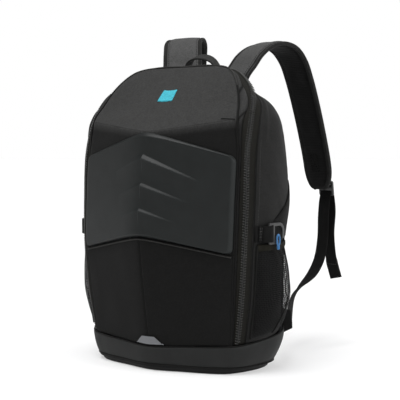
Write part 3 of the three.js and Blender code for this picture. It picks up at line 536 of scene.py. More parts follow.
def build(name, verts, faces, materials, body, replaced=(), uvs=None, painted_shade=None, indices=None):
    """Makes a mesh piece from millimetre points, puts it on a body and hides the CAD nodes it stands for."""
    mesh = bpy.data.meshes.new(name)
    mesh.from_pydata((np.asarray(verts, float) * MM).tolist(), [], [list(map(int, f)) for f in faces])
    for material in materials if isinstance(materials, (list, tuple)) else [materials]:
        mesh.materials.append(material)
    if indices is not None:
        mesh.polygons.foreach_set("material_index", np.asarray(indices, dtype=np.int32))
    if uvs is not None:
        layer = mesh.uv_layers.new(name="cloth")
        loops = np.empty(len(mesh.loops), dtype=np.int32)
        mesh.loops.foreach_get("vertex_index", loops)
        layer.data.foreach_set("uv", (np.asarray(uvs, float)[loops] * MM).astype(np.float32).ravel())
    # per-point amount of painted shade, read by the cloth material
    if painted_shade is not None:
        attribute = mesh.attributes.new("painted_shade", "FLOAT", "POINT")
        attribute.data.foreach_set("value", np.asarray(painted_shade, dtype=np.float32).ravel())
    mesh.update()
    mesh.validate()
    piece = bpy.data.objects.new(name, mesh)
    bpy.context.scene.collection.objects.link(piece)
    mesh.polygons.foreach_set("use_smooth", np.ones(len(mesh.polygons), dtype=bool))
    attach(piece, body)
    if replaced:
        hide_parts(*replaced)
    return piece


def orient(verts, faces):
    """The faces, all turned over if the closed mesh is inside out."""
    v = np.asarray(verts, float)
    volume = 0.0
    for size in {len(f) for f in faces}:
        rings = np.array([f for f in faces if len(f) == size])
        for i in range(1, size - 1):
            a, b, c = v[rings[:, 0]], v[rings[:, i]], v[rings[:, i + 1]]
            volume += float(np.sum(a * np.cross(b, c)))
    return faces if volume > 0 else [f[::-1] for f in faces]


def panel(name, outer, inner, materials, body, replaced=(), painted_shade=None):
    """A closed sheet between two grids of points. A second material goes on the inner face."""
    rows, cols = outer.shape[:2]
    count = rows * cols
    faces, indices = [], []
    inner_index = 1 if isinstance(materials, (list, tuple)) and len(materials) > 1 else 0
    for j in range(rows - 1):
        for i in range(cols - 1):
            a, d = j * cols + i, (j + 1) * cols + i
            faces.append((a, a + 1, d + 1, d))
            faces.append((count + a, count + d, count + d + 1, count + a + 1))
            indices += [0, inner_index]
    last_row = (rows - 1) * cols
    for i in range(cols - 1):
        faces.append((i, count + i, count + i + 1, i + 1))
        a = last_row + i
        faces.append((a, a + 1, count + a + 1, count + a))
    for j in range(rows - 1):
        a, b = j * cols, (j + 1) * cols
        faces.append((a, b, count + b, count + a))
        a, b = a + cols - 1, b + cols - 1
        faces.append((a, count + a, count + b, b))
    indices += [0] * (len(faces) - len(indices))
    verts = np.vstack([outer.reshape(-1, 3), inner.reshape(-1, 3)])
    lengths = [arc_lengths(outer, axis).reshape(-1) for axis in (1, 0)]
    uvs = np.tile(np.stack(lengths, axis=-1), (2, 1))
    if painted_shade is not None:
        painted_shade = np.tile(painted_shade.reshape(-1), 2)
    return build(name, verts, orient(verts, faces), materials, body, replaced, uvs, painted_shade, indices)


def running_length(points):
    """Distance along a line of points from its first one."""
    return np.concatenate([[0], np.cumsum(np.linalg.norm(np.diff(points, axis=0), axis=1))])


def frames(points, closed=False):
    """Tangents and a pair of steady cross directions along a line of points."""
    points = np.asarray(points, float)
    if closed:
        tangents = unit(np.roll(points, -1, axis=0) - np.roll(points, 1, axis=0))
    else:
        tangents = unit(np.gradient(points, axis=0))
    start = np.array([0.0, 0.0, 1.0]) if abs(tangents[0][2]) < 0.9 else np.array([1.0, 0.0, 0.0])
    side = unit(np.cross(tangents[0], start))
    sides = []
    for tangent in tangents:
        side = unit(side - tangent * np.dot(side, tangent))
        sides.append(side)
    sides = np.array(sides)
    return tangents, sides, np.cross(tangents, sides)


def side_faces(count, size, start=0, closed=False):
    """Quads between the neighbouring rings of a stack whose first point has number start."""
    faces = []
    for r in range(count if closed else count - 1):
        low, high = start + r * size, start + (r + 1) % count * size
        for i in range(size):
            j = (i + 1) % size
            faces.append((low + i, low + j, high + j, high + i))
    return faces


def capped_faces(count, size, start=0):
    """The same, with a face over both ends."""
    last = start + (count - 1) * size
    ends = [tuple(range(start, start + size))[::-1], tuple(range(last, last + size))]
    return side_faces(count, size, start) + ends


SIDES_OF_TUBE = 10


def tube(name, points, radius, material, body, closed=False, replaced=()):
    """A round welt, cord or bar along a line of points. radius may change along it."""
    points = np.asarray(points, float)
    _, side, up = frames(points, closed)
    angles = np.linspace(0, 2 * math.pi, SIDES_OF_TUBE, endpoint=False)
    radii = np.broadcast_to(np.asarray(radius, float), (len(points),))
    offsets = np.cos(angles)[None, :, None] * side[:, None] + np.sin(angles)[None, :, None] * up[:, None]
    verts = (points[:, None] + offsets * radii[:, None, None]).reshape(-1, 3)
    around = angles[None, :] * radii[:, None]
    along = np.repeat(running_length(points)[:, None], SIDES_OF_TUBE, axis=1)
    uvs = np.stack([around, along], axis=-1).reshape(-1, 2)
    count = len(points)
    faces = side_faces(count, SIDES_OF_TUBE, closed=True) if closed else capped_faces(count, SIDES_OF_TUBE)
    return build(name, verts, orient(verts, faces), material, body, replaced, uvs)


def welt(name, points, radius, body="bag", closed=False):
    return tube(name, points, radius, M["welt"], body, closed)


def rounded_section(width, thickness, corner, steps=4):
    """Points around a rounded rectangle, and the distance across it for each."""
    corner = min(corner, width / 2, thickness / 2)
    points = []
    for cx, cy, start in ((1, 1, 0), (-1, 1, 90), (-1, -1, 180), (1, -1, 270)):
        for k in range(steps + 1):
            angle = math.radians(start + 90 * k / steps)
            points.append((cx * (width / 2 - corner) + corner * math.cos(angle),
                           cy * (thickness / 2 - corner) + corner * math.sin(angle)))
    return np.array(points)


def band(name, points, across, width, thickness, material, body, replaced=(), corner=0.8, steps=3):
    """A flat strap along a line of points. width and thickness may be functions of 0..1."""
    points = np.asarray(points, float)
    tangents = unit(np.gradient(points, axis=0))
    across = np.broadcast_to(np.asarray(across, float), points.shape)
    across = unit(across - tangents * np.sum(across * tangents, axis=-1, keepdims=True))
    out = np.cross(across, tangents)
    rings, uvs = [], []
    length = running_length(points)
    for k, point in enumerate(points):
        t = k / (len(points) - 1)
        w = width(t) if callable(width) else width
        h = thickness(t) if callable(thickness) else thickness
        section = rounded_section(w, h, corner, steps)
        rings.append(point + section[:, :1] * across[k] + section[:, 1:] * out[k])
        uvs.append(np.stack([section[:, 0], np.full(len(section), length[k])], axis=-1))
    verts = np.concatenate(rings)
    faces = orient(verts, capped_faces(len(rings), len(rings[0])))
    return build(name, verts, faces, material, body, replaced, np.concatenate(uvs))


def resample(points, pitch):
    """The line through the points, with a point about every pitch millimetres."""
    points = np.asarray(points, float)
    length = running_length(points)
    count = max(2, int(length[-1] / pitch))
    at = np.linspace(0, length[-1], count + 1)
    return np.stack([np.interp(at, length, points[:, k]) for k in range(3)], axis=-1)


STITCH_PITCH = 4.2
STITCH_LENGTH = 3.0
STITCH_RADIUS = 0.42
SHARP_EDGE = math.radians(35)
SAME_SPOT = 1e-3


def stitches(name, lines, body, material=None):
    """Sewn thread along lines that lie on the cloth: each stitch is a short tapered dash."""
    verts, faces = [], []
    for points in lines:
        points = resample(points, STITCH_PITCH)
        _, side, up = frames(points)
        for k in range(len(points) - 1):
            middle = (points[k] + points[k + 1]) / 2
            along = unit(points[k + 1] - points[k]) * STITCH_LENGTH / 2
            a, b = side[k] * STITCH_RADIUS, up[k] * STITCH_RADIUS
            start = len(verts)
            verts += [middle - along]
            for share in (-0.6, 0.6):
                verts += [middle + along * share + q for q in (a, b, -a, -b)]
            verts += [middle + along]
            for i in range(4):
                j = (i + 1) % 4
                faces.append((start, start + 1 + j, start + 1 + i))
                faces.append((start + 1 + i, start + 1 + j, start + 5 + j, start + 5 + i))
                faces.append((start + 9, start + 5 + i, start + 5 + j))
    return build(name, verts, faces, material or M["thread"], body)


def crossed_box(corners):
    """The sides and both diagonals of a sewn box."""
    a, b, c, d = corners
    return [[a, b], [b, c], [c, d], [d, a], [a, c], [b, d]]


def extruded(name, outline, holes, place_at, depth, material, body, replaced=(), bevel=0.6):
    """A flat part cut from an outline with holes, with rounded edges. place_at maps (x, y, z) arrays."""
    curve = bpy.data.curves.new(name, "CURVE")
    curve.dimensions = "2D"
    curve.fill_mode = "BOTH"
    curve.extrude = (depth / 2 - bevel) * MM
    curve.bevel_depth = bevel * MM
    curve.bevel_resolution = 2
    curve.offset = -bevel * MM
    for loop in [outline, *holes]:
        spline = curve.splines.new("POLY")
        spline.points.add(len(loop) - 1)
        for point, (x, y) in zip(spline.points, loop):
            point.co = (x * MM, y * MM, 0, 1)
        spline.use_cyclic_u = True
    holder = bpy.data.objects.new(name + "_outline", curve)
    bpy.context.scene.collection.objects.link(holder)
    evaluated = holder.evaluated_get(bpy.context.evaluated_depsgraph_get())
    flat = bpy.data.meshes.new_from_object(evaluated)
    verts = np.array([v.co for v in flat.vertices]) / MM
    verts[:, 2] += depth / 2
    faces = [tuple(p.vertices) for p in flat.polygons]
    bpy.data.objects.remove(holder)
    bpy.data.meshes.remove(flat)
    verts, faces = merged(place_at(verts), faces)
    piece = build(name, verts, orient(verts, faces), material, body, replaced)
    piece.data.set_sharp_from_angle(angle=SHARP_EDGE)
    return piece


def merged(verts, faces):
    """Joins points that lie on the same spot."""
    keys = np.round(np.asarray(verts) / SAME_SPOT).astype(np.int64)
    _, first, inverse = np.unique(keys, axis=0, return_index=True, return_inverse=True)
    inverse = inverse.ravel()
    kept = []
    for face in faces:
        ring = [int(inverse[i]) for i in face]
        ring = [a for k, a in enumerate(ring) if a != ring[k - 1]]
        if len(ring) > 2:
            kept.append(tuple(ring))
    return np.asarray(verts)[first], kept


def rounded_outline(width, height, radius, steps=5):
    return [tuple(p) for p in rounded_section(width, height, radius, steps)]


SWELL_PRESSURE = 4.0
SWELL_FRAMES = 20


def swell(piece, cap, voxel=5.0):
    """Inflates a padded piece with a cloth simulation, caps each point's travel and smooths the result."""
    scene = bpy.context.scene
    bpy.context.view_layer.objects.active = piece
    remesh = piece.modifiers.new("voxels", "REMESH")
    remesh.mode = "VOXEL"
    remesh.voxel_size = voxel * MM
    with bpy.context.temp_override(object=piece, active_object=piece):
        bpy.ops.object.modifier_apply(modifier=remesh.name)
    mesh = piece.data
    before = np.empty(len(mesh.vertices) * 3)
    mesh.vertices.foreach_get("co", before)
    cloth = piece.modifiers.new("cloth", "CLOTH")
    cloth.settings.use_pressure = True
    cloth.settings.uniform_pressure_force = SWELL_PRESSURE
    cloth.settings.quality = 6
    cloth.settings.effector_weights.gravity = 0
    cloth.point_cache.frame_start = 1
    cloth.point_cache.frame_end = SWELL_FRAMES
    for step in range(1, SWELL_FRAMES + 1):
        scene.frame_set(step)
    evaluated = piece.evaluated_get(bpy.context.evaluated_depsgraph_get())
    after = np.empty(len(evaluated.data.vertices) * 3)
    evaluated.data.vertices.foreach_get("co", after)
    piece.modifiers.remove(cloth)
    scene.frame_set(1)
    move = (after - before).reshape(-1, 3)
    length = np.linalg.norm(move, axis=1, keepdims=True)
    move *= np.minimum(1, cap * MM / np.maximum(length, 1e-9))
    mesh.vertices.foreach_set("co", (before.reshape(-1, 3) + move).ravel())
    mesh.update()
    modifier = piece.modifiers.new("subdivision", "SUBSURF")
    modifier.levels = modifier.render_levels = 1
    mesh.polygons.foreach_set("use_smooth", np.ones(len(mesh.polygons), dtype=bool))


def mirror(points, side):
    """Points of the right half, or their mirror image for the left half."""
    return np.asarray(points, float) * ((-1, 1, 1) if side == "left" else (1, 1, 1))


SIDES = ("right", "left")


# ---------------------------------------------------------------- base
BASE_TOP = [
    (0, -66.5), (62, -52.5), (108, -39), (133, -28), (146, -14), (159, 14), (166, 42), (163, 68),
    (151, 86), (128, 93),
]
BASE_FLOOR = [
    (0, -61), (56, -48), (98, -36), (118, -25), (127, -12), (136, 14), (140, 42), (137, 66), (126, 82),
    (106, 88),
]
BASE_AXIS = np.array([0.0, 18.0])
BASE_COLUMNS = 260
AROUND = np.arange(BASE_COLUMNS) / BASE_COLUMNS
WELT_Z = 11.0
BOOT_HEIGHT = 45.0
BOOT_DRIFT = 0.7  # how far its side wanders in and out


def base_outline(half, back_y):
    right = [(x, y) for x, y in half]
    left = [(-x, y) for x, y in half[1:]][::-1]
    flat = right + [(60, back_y), (0, back_y), (-60, back_y)] + left
    return catmull([(x, y, 0) for x, y in flat], closed=True)


base_top_line = base_outline(BASE_TOP, 93.5)
base_floor_line = base_outline(BASE_FLOOR, 88.5)


def seam_z(y):
    """Height of the boot's top seam, which rises towards the back."""
    return 39 + 0.165 * (y + 64)


def base_ring(share, inset, lift=0.0):
    """A ring around the base, from the floor (share 0) to the seam (share 1), drawn in by an inset."""
    low, high = base_floor_line(AROUND), base_top_line(AROUND)
    w = np.sin(np.minimum(share, 1) * math.pi / 2)[..., None] ** 0.9
    ring = low * (1 - w) + high * w
    ring[:, :2] -= unit(ring[:, :2] - BASE_AXIS) * inset
    ring[:, 2] = share * (seam_z(high[:, 1]) - GAP) + lift
    return ring


def shrunk(ring, share):
    """A ring drawn in to a share of its size, at the same height."""
    small = ring.copy()
    small[:, :2] = BASE_AXIS + (ring[:, :2] - BASE_AXIS) * share
    return small


def stack(name, rings, materials, ring_materials, body, replaced):
    """A closed skin over rings with equal point counts, closed with a fan at both ends."""
    size = len(rings[0])
    verts = np.vstack([*rings, rings[0].mean(axis=0), rings[-1].mean(axis=0)])
    faces = side_faces(len(rings), size)
    indices = list(np.repeat(ring_materials[:len(rings) - 1], size))
    hub, top = len(verts) - 2, len(verts) - 1
    last = (len(rings) - 1) * size
    for i in range(size):
        j = (i + 1) % size
        faces += [(hub, j, i), (top, last + i, last + j)]
        indices += [ring_materials[0], ring_materials[-1]]
    return build(name, verts, orient(verts, faces), materials, body, replaced, indices=indices)


BOOT, UNDERSIDE, INSIDE = range(3)  # the boot's materials
floor_ring = base_ring(0, 7)
rings = [shrunk(floor_ring, 0.04), shrunk(floor_ring, 0.5), shrunk(floor_ring, 0.92), floor_ring]
rings += [base_ring(0, 4.0, 0.7), base_ring(0, 1.8, 2.4), base_ring(0, 0.6, 5.0)]
ring_materials = [UNDERSIDE] * len(rings)
for share in np.linspace(0.16, 1, 22):
    ring = base_ring(share, 0)
    pinch = 0.7 * np.exp(-((ring[:, 2] - WELT_Z) / 1.6) ** 2) + quarter((1 - share) * BOOT_HEIGHT, 5)
    drift = BOOT_DRIFT * ripple(ring, 70, 3) * math.sin(share * math.pi)
    ring[:, :2] -= unit(ring[:, :2] - BASE_AXIS) * (pinch - drift)[:, None]
    rings.append(ring)
    ring_materials.append(UNDERSIDE if ring[0, 2] < WELT_Z - 1 else BOOT)
for share, inset, lift in ((1, 3, 0), (0.6, 3, 0), (0.25, 4, 0), (0, 12, 4)):
    rings.append(base_ring(share, inset, lift))
rings.append(shrunk(rings[-1], 0.5))
ring_materials += [INSIDE] * 5
stack("boot_shell", rings, [M["boot"], M["under"], M["lining"]], ring_materials, "bag", ["base_tray"])

seam_height = seam_z(base_top_line(AROUND)[:, 1]) - GAP
for name, ring, radius in (("floor", base_ring(WELT_Z / seam_height, 0.3), 1.25),
                           ("seam", base_ring(1.0, 1.6, -0.3), 1.3)):
    tube(f"boot_{name}_welt", ring, radius, M["welt"], "bag", closed=True)

board = [base_ring(0, 16, 4.4), base_ring(0, 14.6, 5.2), base_ring(0, 15.4, 6.8)]
board = [shrunk(board[0], 0.3), *board, shrunk(board[-1], 0.3)]
stack("base_board_cover", board, [M["lining"]], [0] * 5, "bag", ["base_board"])


# ---------------------------------------------------------------- body walls
WALL = 4.0
SHOULDER = 6.9
SEAM_ROLL = 1.7  # how far a panel dips at its sewn edges
SEAM_WIDTH = 7.0
SHOULDER_FOLD = 3.5  # height of the soft fold behind the zip at each shoulder


def wall_panel(name, s_from, s_to, material, replaced, seed, wrinkle=0.8):
    """A panel of the body's side or top, from the zip (v = 0) to the back seam (v = 1)."""
    s = np.linspace(s_from, s_to, 150)[:, None]
    v = np.linspace(0, 1, 60)[None, :]
    points = wall(s, v)
    normal = outward(wall, *matched(s, np.clip(v, 0.01, 0.99)))
    distance = border_distance(points)
    inner = points - normal * WALL
    folds = ripple(points * (1, 1, 0.6), 46, seed) * wrinkle + ripple(points, 17, seed + 1) * 0.18
    rise = np.clip((points[..., 2] - 345) / 85, 0, 1)
    tuck = SHOULDER_FOLD * np.exp(-((v - 0.13) / 0.05) ** 2) * np.sin(np.pi * rise)
    lift = folds * np.clip(distance / 25, 0, 1) + tuck - SEAM_ROLL * quarter(distance, SEAM_WIDTH)
    outer = points + normal * lift[..., None]
    panel(name, outer, inner, [material, M["lining"]], "bag", replaced)


LAST = 2 * SECTION_COUNT
SEAM_PLAY = 0.03
wall_panel("side_wall_right", 0, SHOULDER, M["side"], ["side_panel_right"], 11)
wall_panel("side_wall_left", LAST, LAST - SHOULDER, M["side"], ["side_panel_left"], 23)
top_start = SHOULDER + SEAM_PLAY
wall_panel("top_wall", top_start, LAST - top_start, M["charcoal"], ["top_panel"], 31, wrinkle=0.5)

ALL_SECTIONS = np.linspace(0, LAST, 320)
welt("back_seam_piping", line("back", ALL_SECTIONS) + (0, 0.4, 0), 2.0)
welt("zip_side_piping", off_wall(ALL_SECTIONS, 0.012, -0.5), 1.1)


# ---------------------------------------------------------------- zip
LID_FABRIC = 3.0
COIL_EDGE = 0.2
ZIP_COIL = 1.8
COIL_RAISE = 0.8
TAPE_EDGE = COIL_EDGE + ZIP_COIL + GAP
TOOTH_PITCH = 4.0
TOOTH_REACH = 4.4
TOOTH_SLANT = 0.3
TOOTH_WIDTH = 0.72  # half its width along the chain; half its height is 1 mm
TOOTH_SIDES = 6
TOOTH_RINGS = ((-0.45, 0.7), (0.2, 1.0), (TOOTH_REACH * 0.85, 1.0), (TOOTH_REACH, 0.5))  # reach and size


def gusset_start(s):
    return line("front", s) + (0, LID_FABRIC + 3 * GAP, 0)


def zip_frame(s):
    """Directions across the zip, towards the body, and out of it."""
    across = unit(line("wall", s) - gusset_start(s))
    along = unit(line("zip", np.minimum(s + 0.05, 20)) - line("zip", np.maximum(s - 0.05, 0)))
    normal = unit(np.cross(along, across))
    facing = np.sum(normal * (line("zip", s) - MIDDLE), axis=-1, keepdims=True)
    return across, normal * np.where(facing < 0, -1, 1)


def crest(v, middle, width):
    """A smooth hump, 1 high, at one place across a strip."""
    return np.exp(-((v - middle) / width) ** 2)


def gusset_share(s):
    """Share of the lid's side that is fabric before the zip tape: wider over the shoulders."""
    from_top = np.abs(np.asarray(s, float) - SECTION_COUNT)
    return 0.3 + 0.36 * np.exp(-((from_top - 4.1) / 0.8) ** 2)


def strip(name, low, high, columns, raised, thickness, material, body, replaced, painted_shade=None):
    """A strip along the zip between two lines of points, crowned by raised(s, v)."""
    s, v = RAIL[:, None], np.linspace(0, 1, columns)[None, :]
    outer = low[:, None] * (1 - v)[..., None] + high[:, None] * v[..., None]
    outer = outer + RAIL_NORMAL[:, None] * raised(s, v)[..., None]
    inner = outer - RAIL_NORMAL[:, None] * thickness
    panel(name, outer, inner, material, body, replaced, painted_shade=None if painted_shade is None else painted_shade(s, v))


def gusset_line(extra=0.0):
    """Where the lid's side fabric ends and the tape begins, plus an extra share of the lid's side."""
    start = gusset_start(RAIL)
    return start + (line("zip", RAIL) - start) * (gusset_share(RAIL) + extra)[:, None]


RAIL = np.linspace(0, LAST, 420)
RAIL_ACROSS, RAIL_NORMAL = zip_frame(RAIL)
TAPE_OVERLAP = 0.3
beside_coil = RAIL_ACROSS * (TAPE_EDGE - TAPE_OVERLAP)
strip("zip_tape_body_side", line("zip", RAIL) + beside_coil, off_wall(RAIL, 0.03, -1.6), 9,
      lambda s, v: 0.5 * crest(v, 0.12, 0.1) + 0.5 * crest(v, 0.86, 0.12) + 0 * s,
      1.2, M["tape"], "bag", ["zip_tape_body"])
strip("zip_tape_lid_side", line("zip", RAIL) - beside_coil, gusset_line(0.02), 9,
      lambda s, v: 0.5 * crest(v, 0.12, 0.1) - 6 * np.clip(v - 0.9, 0, 1) + 0 * s,
      1.2, M["tape"], "lid", ["zip_tape_lid"])


def teeth(name, side, body, replaced):
    """The coil's visible loops: short rounded bars across one half of the chain."""
    dense = np.linspace(0.05, LAST - 0.05, 900)
    reference = line("zip", dense)
    angles = np.linspace(0, 2 * math.pi, TOOTH_SIDES, endpoint=False)[:, None]
    verts, faces = [], []
    for point in resample(reference, TOOTH_PITCH):
        s = dense[np.argmin(np.sum((reference - point) ** 2, axis=1))]
        (across,), (normal,) = zip_frame(np.array([s]))
        along = unit(np.cross(normal, across))
        foot = point + along * (TOOTH_PITCH / 4 * side)
        faces += capped_faces(len(TOOTH_RINGS), TOOTH_SIDES, len(verts))
        for reach, size in TOOTH_RINGS:
            centre = foot + (across * side + along * TOOTH_SLANT) * reach + normal * COIL_RAISE
            verts += list(centre + (along * np.cos(angles) * TOOTH_WIDTH + normal * np.sin(angles)) * size)
    build(name, verts, orient(np.array(verts), faces), M["coil"], body, replaced)


teeth("zip_teeth_body", 1, "bag", ["zip_coil_body"])
teeth("zip_teeth_lid", -1, "lid", ["zip_coil_lid"])

TUCKS = [(2.4, 3.3, 3.0), (3.38, 4.8, 6.0), (4.85, 5.6, 2.5)]  # from, to (sections from the top) and height


def slanted_from_top(s, v):
    """Sections from the top centre, along lines that lean forward across the lid's side."""
    return np.abs(s - SECTION_COUNT) + 0.4 * (v - 0.4)


def pleats(s, v):
    """Gathered folds of the lid's side over each shoulder, plus a slight roll at its edges."""
    from_top = slanted_from_top(s, v)
    roll = np.sin(np.pi * np.clip(v, 0, 1)) ** 0.6
    folds = 0.8 * roll - 0.5
    for start, end, height in TUCKS:
        t = np.clip((from_top - start) / (end - start), 0, 1)
        folds = folds + height * np.sin(np.pi * t) ** 0.6 * (1 - 0.45 * t) * roll
    return folds


def gusset_painted_shade(s, v):
    """0 for the plain charcoal and 1 for the darkest: painted shade in the creases between the tucks, and
    darker below the tucks and towards the tape.
    """
    from_top = slanted_from_top(s, v)
    # painted shade in the creases between the tucks
    creases = sum(crest(from_top, start, 0.1) for start, _, _ in TUCKS[1:])
    lower = 0.72 * np.clip((from_top - 4.8) / 0.5, 0, 1)
    beside_tape = 0.5 * np.clip((v - 0.7) / 0.3, 0, 1)
    return np.clip(0.12 + creases + lower + beside_tape, 0, 1)


strip("lid_side_gusset", gusset_start(RAIL), gusset_line(), 12, pleats, 2.0, M["upper"], "lid",
      ["lid_gusset"], painted_shade=gusset_painted_shade)
piping = gusset_start(ALL_SECTIONS) + (0, -1.9, 0) + zip_frame(ALL_SECTIONS)[1] * 0.3
for name, low, high, material in (("right", 0, 6.8, "welt"), ("top", 6.8, 13.2, "charcoal"),
                                  ("left", 13.2, LAST, "welt")):
    part = piping[(ALL_SECTIONS >= low - 0.04) & (ALL_SECTIONS <= high + 0.04)]
    tube(f"lid_edge_piping_{name}", part, 1.5, M[material], "lid")


# ---------------------------------------------------------------- lid
def spread(columns, centre=0.35):
    """Values from -1 to 1, closer together at the middle."""
    u = np.linspace(-1, 1, columns)
    return np.sign(u) * ((1 - centre) * np.abs(u) ** 1.6 + centre * np.abs(u))


LID_WRINKLE = 0.35


def lid_panel(name, s, low, high, rows, material, replaced, rolls, seed, painted_shade=None, sides="lrtb",
              roll_width=SEAM_WIDTH):
    """A sewn panel of the lid's front between two heights, each given at the centre and at the edge."""
    q = np.linspace(0, 1, rows)[:, None]
    s = np.broadcast_to(s[None, :], (rows, len(s)))
    z = between(low, s) * (1 - q) + between(high, s) * q
    points = front(s, z)
    normal = outward(front, s, z, 0.004)
    calm = np.clip(border_distance(points) / 20, 0, 1)
    rolled = rolls * quarter(border_distance(points, sides), roll_width)
    outer = points + normal * (ripple(points, 60, seed) * LID_WRINKLE * calm - rolled)[..., None]
    panel(name, outer, points + (0, LID_FABRIC, 0), [material, M["lining"]], "lid", replaced,
          painted_shade=None if painted_shade is None else painted_shade(s, q))


EDGE_INSET = 0.997
half = np.linspace(0.003, EDGE_INSET, 90)
for side, sign in zip(SIDES, (1, -1)):
    lid_panel(f"lower_front_{side}", half * sign, FRONT_SEAM, EVA_SEAM, 100, M["black"],
              [f"lower_front_panel_{side}"], 0.8, 41 if sign > 0 else 42, roll_width=2.5)
SEAM_STEP = 0.8
mid_low = [z + SEAM_STEP for z in EVA_SEAM]
# painted shade: below a thin strip at the crease, the mid panel fades to the darker shade colour, for the
# fold that faces down
lid_panel("mid_front", spread(170) * EDGE_INSET, mid_low, CREASE, 110, M["upper"], ["lid_mid_panel"], 1.2, 43,
          painted_shade=lambda s, q: np.clip((1 - q) / 0.07, 0, 1) ** 0.8 + 0 * s, sides="lrb")

s = spread(170)[None, :] * EDGE_INSET
q = np.linspace(0, 1, 90)[:, None]
points = upper(s, q)
normal = outward(upper, *matched(s, q), 0.004)
calm = np.clip(border_distance(points) / 25, 0, 1)
lift = ripple(points, 70, 44) * 0.5 * calm - 1.5 * quarter(border_distance(points, "lrt"), SEAM_WIDTH)
panel("upper_front", points + normal * lift[..., None], points + (0, LID_FABRIC, 0),
      [M["upper"], M["lining"]], "lid", ["lid_upper_panel"],
      painted_shade=np.zeros(points.shape[:2]))

corner_seam = upper(np.linspace(0.83, 0.985, 20), np.linspace(0.04, 0.004, 20))
welt("crease_corner_seam", corner_seam + (0, -0.2, 0.1), 0.7, "lid")
welt("centre_seam_welt", front(np.zeros(80), np.linspace(40, 206, 80)) + (0, 0.8, 0), 0.9, "lid")
LIP_DROP = 2.8  # the lip lies this far under the shell's lower seam
top_edge = spread(120) * 0.985
lip = front(top_edge, between(EVA_SEAM, top_edge) - LIP_DROP) + (0, -0.7, 0)
# a real rolled edge; its paler charcoal on the darker panel is a painted highlight where the edge catches
# light
tube("lower_front_lip", lip, 1.2, M["charcoal"], "lid")

# The moulded shell, with a rounded rim and three tapering steps each side of its centre crease.
EVA_STAND = 5.4
EVA_RIM = {"top": 7.0, "bottom": 4.0, "side": 6.0}
EVA_CORNER = 9.0
EVA_HALF_WIDTH = 137.0
STEPS = [((0.0, 327.8), (0.68, 288.0)), ((0.0, 286.0), (0.55, 258.0)), ((0.0, 248.2), (0.42, 228.5))]
STEP_HEIGHTS = (5.0, 3.6, 3.0)
STEP_FACETS = (6.6, 4.8, 4.0)
STEP_FADE = 24.0
LEFT_REACH = 0.6  # the steps are shorter and lower on the left half
LEFT_HEIGHT = 0.55


def eva_relief(s, z, points):
    """Height over the shell's plain face: the rounded rim, then the steps."""
    along, up = arc_lengths(points, 1), arc_lengths(points, 0)
    to_side = np.minimum(along, along[:, -1:] - along)
    to_top = up[-1:, :] - up
    rims = []
    for to_end, width in ((to_top, EVA_RIM["top"]), (up, EVA_RIM["bottom"])):
        side_gap, end_gap = np.maximum(EVA_CORNER - to_side, 0), np.maximum(EVA_CORNER - to_end, 0)
        in_corner = (side_gap > 0) & (end_gap > 0)
        nearest = np.where(in_corner, EVA_CORNER - np.hypot(side_gap, end_gap), np.minimum(to_side, to_end))
        span = np.where(to_side < to_end, EVA_RIM["side"], width)
        rims.append((1 - np.clip(nearest / span, 0, 1)) ** 1.6)
    relief = -(EVA_STAND - 0.2) * np.maximum(*rims)
    for ((s0, z0), (s1, z1)), step_height, step_facet in zip(STEPS, STEP_HEIGHTS, STEP_FACETS):
        along_step = (np.abs(s) - s0) / (s1 - s0)
        below = z0 + (z1 - z0) * np.clip(along_step, 0, 1) - z
        t = np.clip(along_step / np.where(s < 0, LEFT_REACH, 1.0), 0, 1)
        size = step_height * (1 - t) ** 0.9 * np.where(s < 0, LEFT_HEIGHT, 1.0)
        facet = step_facet * (1 - t) + 0.8
        rise = np.clip(below / facet + 0.5, 0, 1)
        fade = np.clip(1 - (below - facet / 2) / STEP_FADE, 0, 1) ** 1.5
        relief = relief + size * rise * fade
    return relief


s = np.broadcast_to(spread(240, 0.45)[None, :] * 0.997, (170, 240))
q = (1 - np.cos(np.linspace(0.12, math.pi - 0.12, 170))) / 2
q = ((q - q[0]) / (q[-1] - q[0]))[:, None]
z = between(EVA_BOTTOM, s) * (1 - q) + between(EVA_TOP, s) * q
to_end = arc_lengths(front(s, z), 0)
to_end = np.minimum(to_end, to_end[-1:] - to_end)
cut = np.clip(EVA_CORNER - to_end, 0, EVA_CORNER)
s = s * (1 - (EVA_CORNER - np.sqrt(EVA_CORNER**2 - cut**2)) / EVA_HALF_WIDTH)
z = between(EVA_BOTTOM, s) * (1 - q) + between(EVA_TOP, s) * q
points = front(s, z)
normal = outward(front, s, z, 0.004)
relief = eva_relief(s, z, points) + EVA_STAND
panel("moulded_shell", points + normal * relief[..., None], points + (0, -0.1, 0), M["eva"], "lid",
      ["eva_shell"])

# Reflective tab at the foot of the centre seam.
FOOT_HALF = (0.205, 0.092)  # half widths at its lower and upper edge
FOOT_Z = (41.0, 54.5)
u = np.linspace(0, 1, 24)[None, :]
v = np.linspace(0, 1, 10)[:, None]
s = (2 * u - 1) * (FOOT_HALF[0] + (FOOT_HALF[1] - FOOT_HALF[0]) * v)
tab = front(s, (FOOT_Z[0] + 4 * np.abs(s)) * (1 - v) + FOOT_Z[1] * v)
panel("reflective_tab_face", tab + (0, -1.5, 0), tab + (0, -0.2, 0), M["reflective"], "lid",
      ["reflective_tab"])
edge = np.concatenate([tab[0, ::2], tab[2:-1:2, -1], tab[-1, ::-2], tab[-2:1:-2, 0]]) + (0, -1.2, 0)
welt("reflective_tab_edge", edge, 0.7, "lid", closed=True)

# Plain woven tab on the upper panel.
TAB_AT = (0.01, 0.53)
TAB_HALF = (0.115, 0.085)
u, v = matched(TAB_AT[0] + TAB_HALF[0] * np.linspace(-1, 1, 16)[None, :],
               TAB_AT[1] + TAB_HALF[1] * np.linspace(-1, 1, 8)[:, None])
mark, up_normal = upper(u, v), outward(upper, u, v, 0.004)
panel("woven_tab", mark + up_normal * 1.1, mark + up_normal * 0.1, M["cyan"], "lid")

